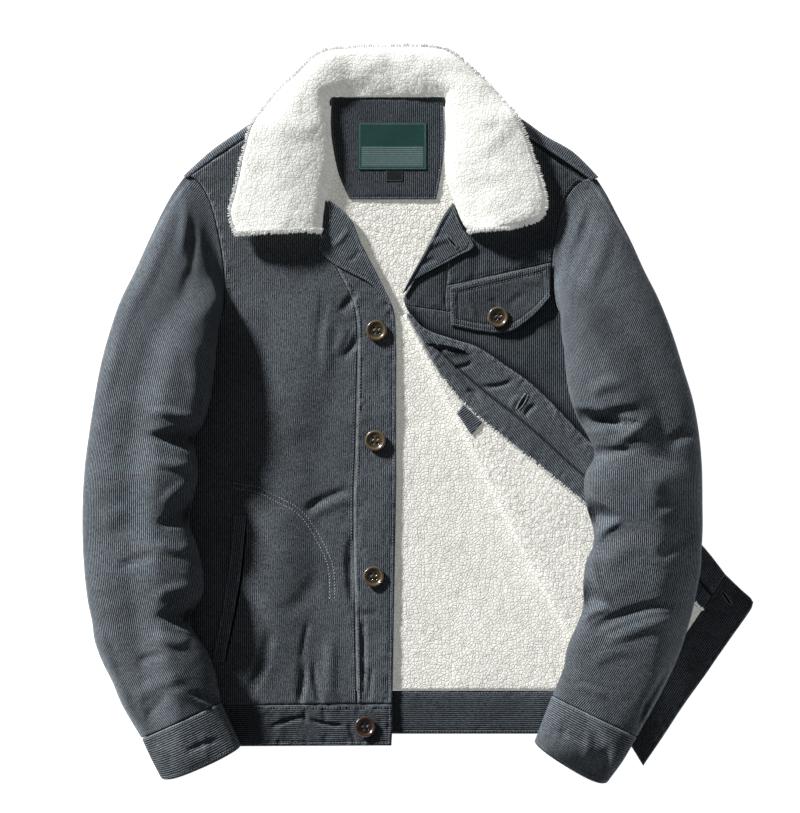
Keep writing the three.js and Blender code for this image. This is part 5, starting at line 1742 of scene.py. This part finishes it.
step_along, step_high = np.gradient(along, axis=1), np.gradient(high, axis=1)
step = np.maximum(np.hypot(step_along, step_high), 1e-6)
thick = lerp(COLLAR_WALL, COLLAR_TUCKED_WALL, dropped * ease(v * 11, 3, 7))
outer = collar_place(along, high)
inner = collar_place(along + step_high / step * thick, high - step_along / step * thick)
plump = 1.6 * noise(outer[..., 0], outer[..., 1], 34, 41) + 0.9 * noise(outer[..., 0], outer[..., 1], 15, 42)
way = outer - inner
way = way / np.maximum(np.linalg.norm(way, axis=-1, keepdims=True), 1e-6)
outer = outer + way * (plump * ease(v, 0, 0.08) * (1 - tucked * ease(v, 0.5, 0.7)))[..., None]
run_s, run_t = outer[..., 0] + 0.7 * outer[..., 2], outer[..., 1] - 0.7 * outer[..., 2]
faces, pile = fleece(outer, inner, run_s, run_t, 43, high=0.8)
collar = piece("collar_fleece", [{"faces": faces, "weave": np.stack([run_s, run_t], -1), "pile": pile}], COLLAR_SHERPA)
dress(collar, "sherpa", "collar")

# The tips of the pile: loose bright tufts that stand out of the collar's outer edge and its two
# ends, and that spill over the facing's edge from the turned lining.
EDGE_TUFTS = 2400
FACING_TUFTS = 700
TUFT_LONG = (2.4, 5.4)
TUFT_RADIUS = 0.68
# The tufts' fleece glows as well, painted light.
COLLAR_TIPS = sherpa("collar_tips", (0.7, 0.71, 0.68, 1), (0.62, 0.62, 0.59, 1))
collar_face = faces[0]
random = np.random.default_rng(57)
rims = [
    np.stack([np.arange(330), np.argmax(along, axis=1)], 1),
    np.stack([np.full(96, 1), np.arange(4, 100)], 1),
    np.stack([np.full(96, 328), np.arange(4, 100)], 1),
]
rims = np.concatenate(rims)
chosen = rims[random.integers(0, len(rims), EDGE_TUFTS)]
spread = np.stack([random.integers(-2, 3, EDGE_TUFTS), random.integers(-5, 6, EDGE_TUFTS)], 1)
chosen = np.clip(chosen + spread, 1, (328, 106))
centre = collar_face.mean(axis=(0, 1))
down_row = np.gradient(collar_face, axis=0)
down_column = np.gradient(collar_face, axis=1)
normal = np.cross(down_row, down_column)
normal /= np.maximum(np.linalg.norm(normal, axis=-1, keepdims=True), 1e-6)
normal *= np.sign((normal * way).sum(axis=-1, keepdims=True))
roots = collar_face[chosen[:, 0], chosen[:, 1]]
lean = normal[chosen[:, 0], chosen[:, 1]] + 0.75 * (random.random((len(chosen), 3)) - 0.5)
outward = (roots - centre + [0, 60, 0]) * [1, 1, 0]
outward /= np.maximum(np.linalg.norm(outward, axis=1, keepdims=True), 1e-6)
lean = lean + 0.55 * outward
lean /= np.linalg.norm(lean, axis=1, keepdims=True)
long = lerp(*TUFT_LONG, random.random(len(chosen)) ** 1.5)[:, None]
edge = inset_line(facing_face, "left", 0.6)
edge = edge[random.integers(len(edge) // 5, len(edge), FACING_TUFTS)]
edge = edge + [0, 0, 0.4] + 1.2 * (random.random(edge.shape) - 0.5)
over_edge = np.array([0.62, 0.76, 0.35]) + 0.9 * (random.random(edge.shape) - 0.5)
over_edge /= np.linalg.norm(over_edge, axis=1, keepdims=True)
edge_long = lerp(1.2, 3.4, random.random((FACING_TUFTS, 1)))
roots = np.concatenate([roots, edge - 0.8 * over_edge])
long = np.concatenate([long, edge_long])
lean = np.concatenate([lean, over_edge])
tips = spindles("fleece_tufts", roots - 0.6 * lean, roots + long * lean, TUFT_RADIUS, COLLAR_TIPS)
tips.data.uv_layers.new(name="weave")
stand = tips.data.attributes.new("pile", "FLOAT", "POINT").data
stand.foreach_set("value", np.ones(len(stand)))
dress(tips, "sherpa")

# The buttons: five turned discs of horn with a raised rim, a dished middle and four holes, each
# sewn on with pale thread and tipped a little. The one on the waistband is darker and redder.
BUTTON_RADIUS = 11
BUTTON_HIGH = 3.6
BUTTON_SEAT = 0.5
HOLE_OFF = 2.5
HOLE_RADIUS = 1.25
HOLE_DEEP = 1.5
FLAP_TOP = FRONT_TOP + 3.5
BUTTON_PROFILE = table("out up", [
    (0.005, 0.5),
    (0.25, 0.5),
    (0.5, 0.53),
    (0.6, 0.57),
    (0.68, 0.68),
    (0.75, 0.88),
    (0.82, 0.99),
    (0.89, 1),
    (0.95, 0.88),
    (1, 0.6),
    (0.98, 0.3),
    (0.86, 0.06),
    (0.6, 0),
    (0.005, 0),
])
BUTTONS = table("x y tilt", [
    (-46, 89, 3),
    (-47, -27, -4),
    (-49, -170, 5),
    (-58, -328, 8),
    (82, 103, 4),
])
BUTTON_NAMES = ("button_top", "button_middle", "button_bottom", "button_waistband", "button_pocket")


def horn(name, dark, light, rim):
    """Polished horn: cloudy streaks, a paler rim and a hard clear shine."""
    made = soft_color(name, dark, light, 260, 0.3)
    tree = made.node_tree
    shader = tree.nodes["Principled BSDF"]
    streaks = shader.inputs["Base Color"].links[0].from_socket
    at_rim = add(tree, "ShaderNodeAttribute", attribute_name="rim").outputs["Fac"]
    tree.links.new(mixed(tree, at_rim, streaks, rim), shader.inputs["Base Color"])
    shader.inputs["Specular IOR Level"].default_value = 0.6
    shader.inputs["Coat Weight"].default_value = 0.8
    shader.inputs["Coat Roughness"].default_value = 0.12
    return made


HORNS = {
    "horn": horn("horn", (0.012, 0.008, 0.004, 1), (0.075, 0.05, 0.022, 1), (0.10, 0.07, 0.036, 1)),
    "dark_horn": horn("dark_horn", (0.006, 0.003, 0.003, 1), (0.03, 0.012, 0.008, 1), (0.055, 0.022, 0.014, 1)),
}


def button(name, x, y, tilt, slot):
    """One button with its place and tilt in the mesh, and the thread through its holes."""
    ring, turn = net(np.linspace(0, 1, 72), np.linspace(0, math.tau, 60, endpoint=False))
    spot = row_at(BUTTON_PROFILE, ring)
    flat_x, flat_y = (BUTTON_RADIUS * spot["out"] * way(turn) for way in (np.cos, np.sin))
    high = BUTTON_HIGH * spot["up"]
    to_hole = np.hypot(np.abs(flat_x) - HOLE_OFF, np.abs(flat_y) - HOLE_OFF)
    top_side = ring < 0.7
    high = high - HOLE_DEEP * top_side * (1 - ease(to_hole, HOLE_RADIUS * 0.72, HOLE_RADIUS * 1.15))
    lean = math.radians(tilt)
    under = FLAP_TOP if slot == "horn" and x > 0 else front_under(np.array([x]), np.array([y]))[0] + FRONT
    base = under + BUTTON_SEAT + BUTTON_RADIUS * abs(math.sin(lean))

    def placed(across, up_page, out):
        lean_x = across * math.cos(lean) + out * math.sin(lean)
        lean_z = out * math.cos(lean) - across * math.sin(lean)
        return np.stack([x + lean_x, y + up_page, base + lean_z], -1)

    points = placed(flat_x, flat_y, high)
    at = np.arange(turn.size).reshape(turn.shape)
    beyond = np.roll(at, -1, axis=1)
    quads = np.stack([at[:-1], at[1:], beyond[1:], beyond[:-1]], -1).reshape(-1, 4).tolist()
    mesh = bpy.data.meshes.new(name)
    mesh.from_pydata((points.reshape(-1, 3) * MM).tolist(), [], [*quads, at[0].tolist(), at[-1][::-1].tolist()])
    mesh.polygons.foreach_set("use_smooth", np.ones(len(mesh.polygons), bool))
    rim = ease(spot["out"], 0.62, 0.74).reshape(-1)
    mesh.attributes.new("rim", "FLOAT", "POINT").data.foreach_set("value", rim)
    mesh.materials.append(HORNS[slot])
    made = bpy.data.objects.new(f"{name}_horn", mesh)
    bpy.context.scene.collection.objects.link(made)
    dress(made, slot, name)
    strands = np.array([(side * HOLE_OFF + off, HOLE_OFF) for side in (-1, 1) for off in (-0.35, 0, 0.35)])
    low, dish = BUTTON_HIGH * 0.12, BUTTON_HIGH * 0.5 + 0.35
    ends = [placed(strands[:, 0], way * strands[:, 1], low + 0 * strands[:, 0]) for way in (-1, 1)]
    middle = placed(strands[:, 0], 0 * strands[:, 0], dish + 0.25 + 0 * strands[:, 0])
    thread = spindles(f"{name}_thread", np.concatenate([ends[0], middle + [0, -0.5, 0]]),
                      np.concatenate([middle + [0, 0.5, 0], ends[1]]), 0.34, THREAD)
    dress(thread, slot)


for k, name in enumerate(BUTTON_NAMES):
    button(name, BUTTONS["x"][k], BUTTONS["y"][k], BUTTONS["tilt"][k],
           "dark_horn" if name == "button_waistband" else "horn")

# The buttonholes: a slit painted near black as shade, with a rim of close satin stitches on both sides, in the lapel,
# in the facing and in the end of the turned waistband.
SATIN_PITCH = 0.75
SATIN_RADIUS = 0.42
BUTTONHOLES = table("from_x from_y to_x to_y wide rim", [
    (29, 187, 39, 176, 1.6, 1.8),
    (7, 75, 49, 66, 5.5, 0),
    (112, 21, 103, 6, 2.6, 2.4),
    (318, -186, 328, -200, 1.6, 1.8),
])


def cloth_top(face, x, y):
    """The height of a net's face at places, from its nearest points."""
    flat = face.reshape(-1, 3)
    return np.array([flat[np.argmin((flat[:, 0] - a) ** 2 + (flat[:, 1] - b) ** 2), 2] for a, b in zip(x, y)])


slits, satin = [], []
for k, face in enumerate((lapels["left"], facing_face, facing_face, waistband_left_face)):
    hole = {name: values[k] for name, values in BUTTONHOLES.items()}
    share = np.linspace(0, 1, 24)
    x, y = lerp(hole["from_x"], hole["to_x"], share), lerp(hole["from_y"], hole["to_y"], share)
    slits.append(slit(np.stack([x, y, cloth_top(face, x, y) + 0.8], -1), hole["wide"]))
    length = math.hypot(hole["to_x"] - hole["from_x"], hole["to_y"] - hole["from_y"])
    if hole["rim"]:
        share = np.arange(-SATIN_PITCH, length + SATIN_PITCH, SATIN_PITCH) / length
        x, y = lerp(hole["from_x"], hole["to_x"], share), lerp(hole["from_y"], hole["to_y"], share)
        way_x, way_y = (hole["to_x"] - hole["from_x"]) / length, (hole["to_y"] - hole["from_y"]) / length
        for side in (-1, 1):
            near = side * hole["wide"] / 2 * np.sin(np.clip(share, 0.04, 0.96) * math.pi) ** 0.6
            far = near + side * hole["rim"]
            high = cloth_top(face, x, y) + 0.45
            satin.append([np.stack([x - way_y * off, y + way_x * off, high], -1) for off in (near, far)])
openings = piece("buttonhole_slits", slits, slit_painted_shade)
dress(openings, "corduroy")
starts, ends = (np.concatenate([pair[k] for pair in satin]) for k in (0, 1))
dress(spindles("buttonhole_satin", starts, ends, SATIN_RADIUS, THREAD), "corduroy")
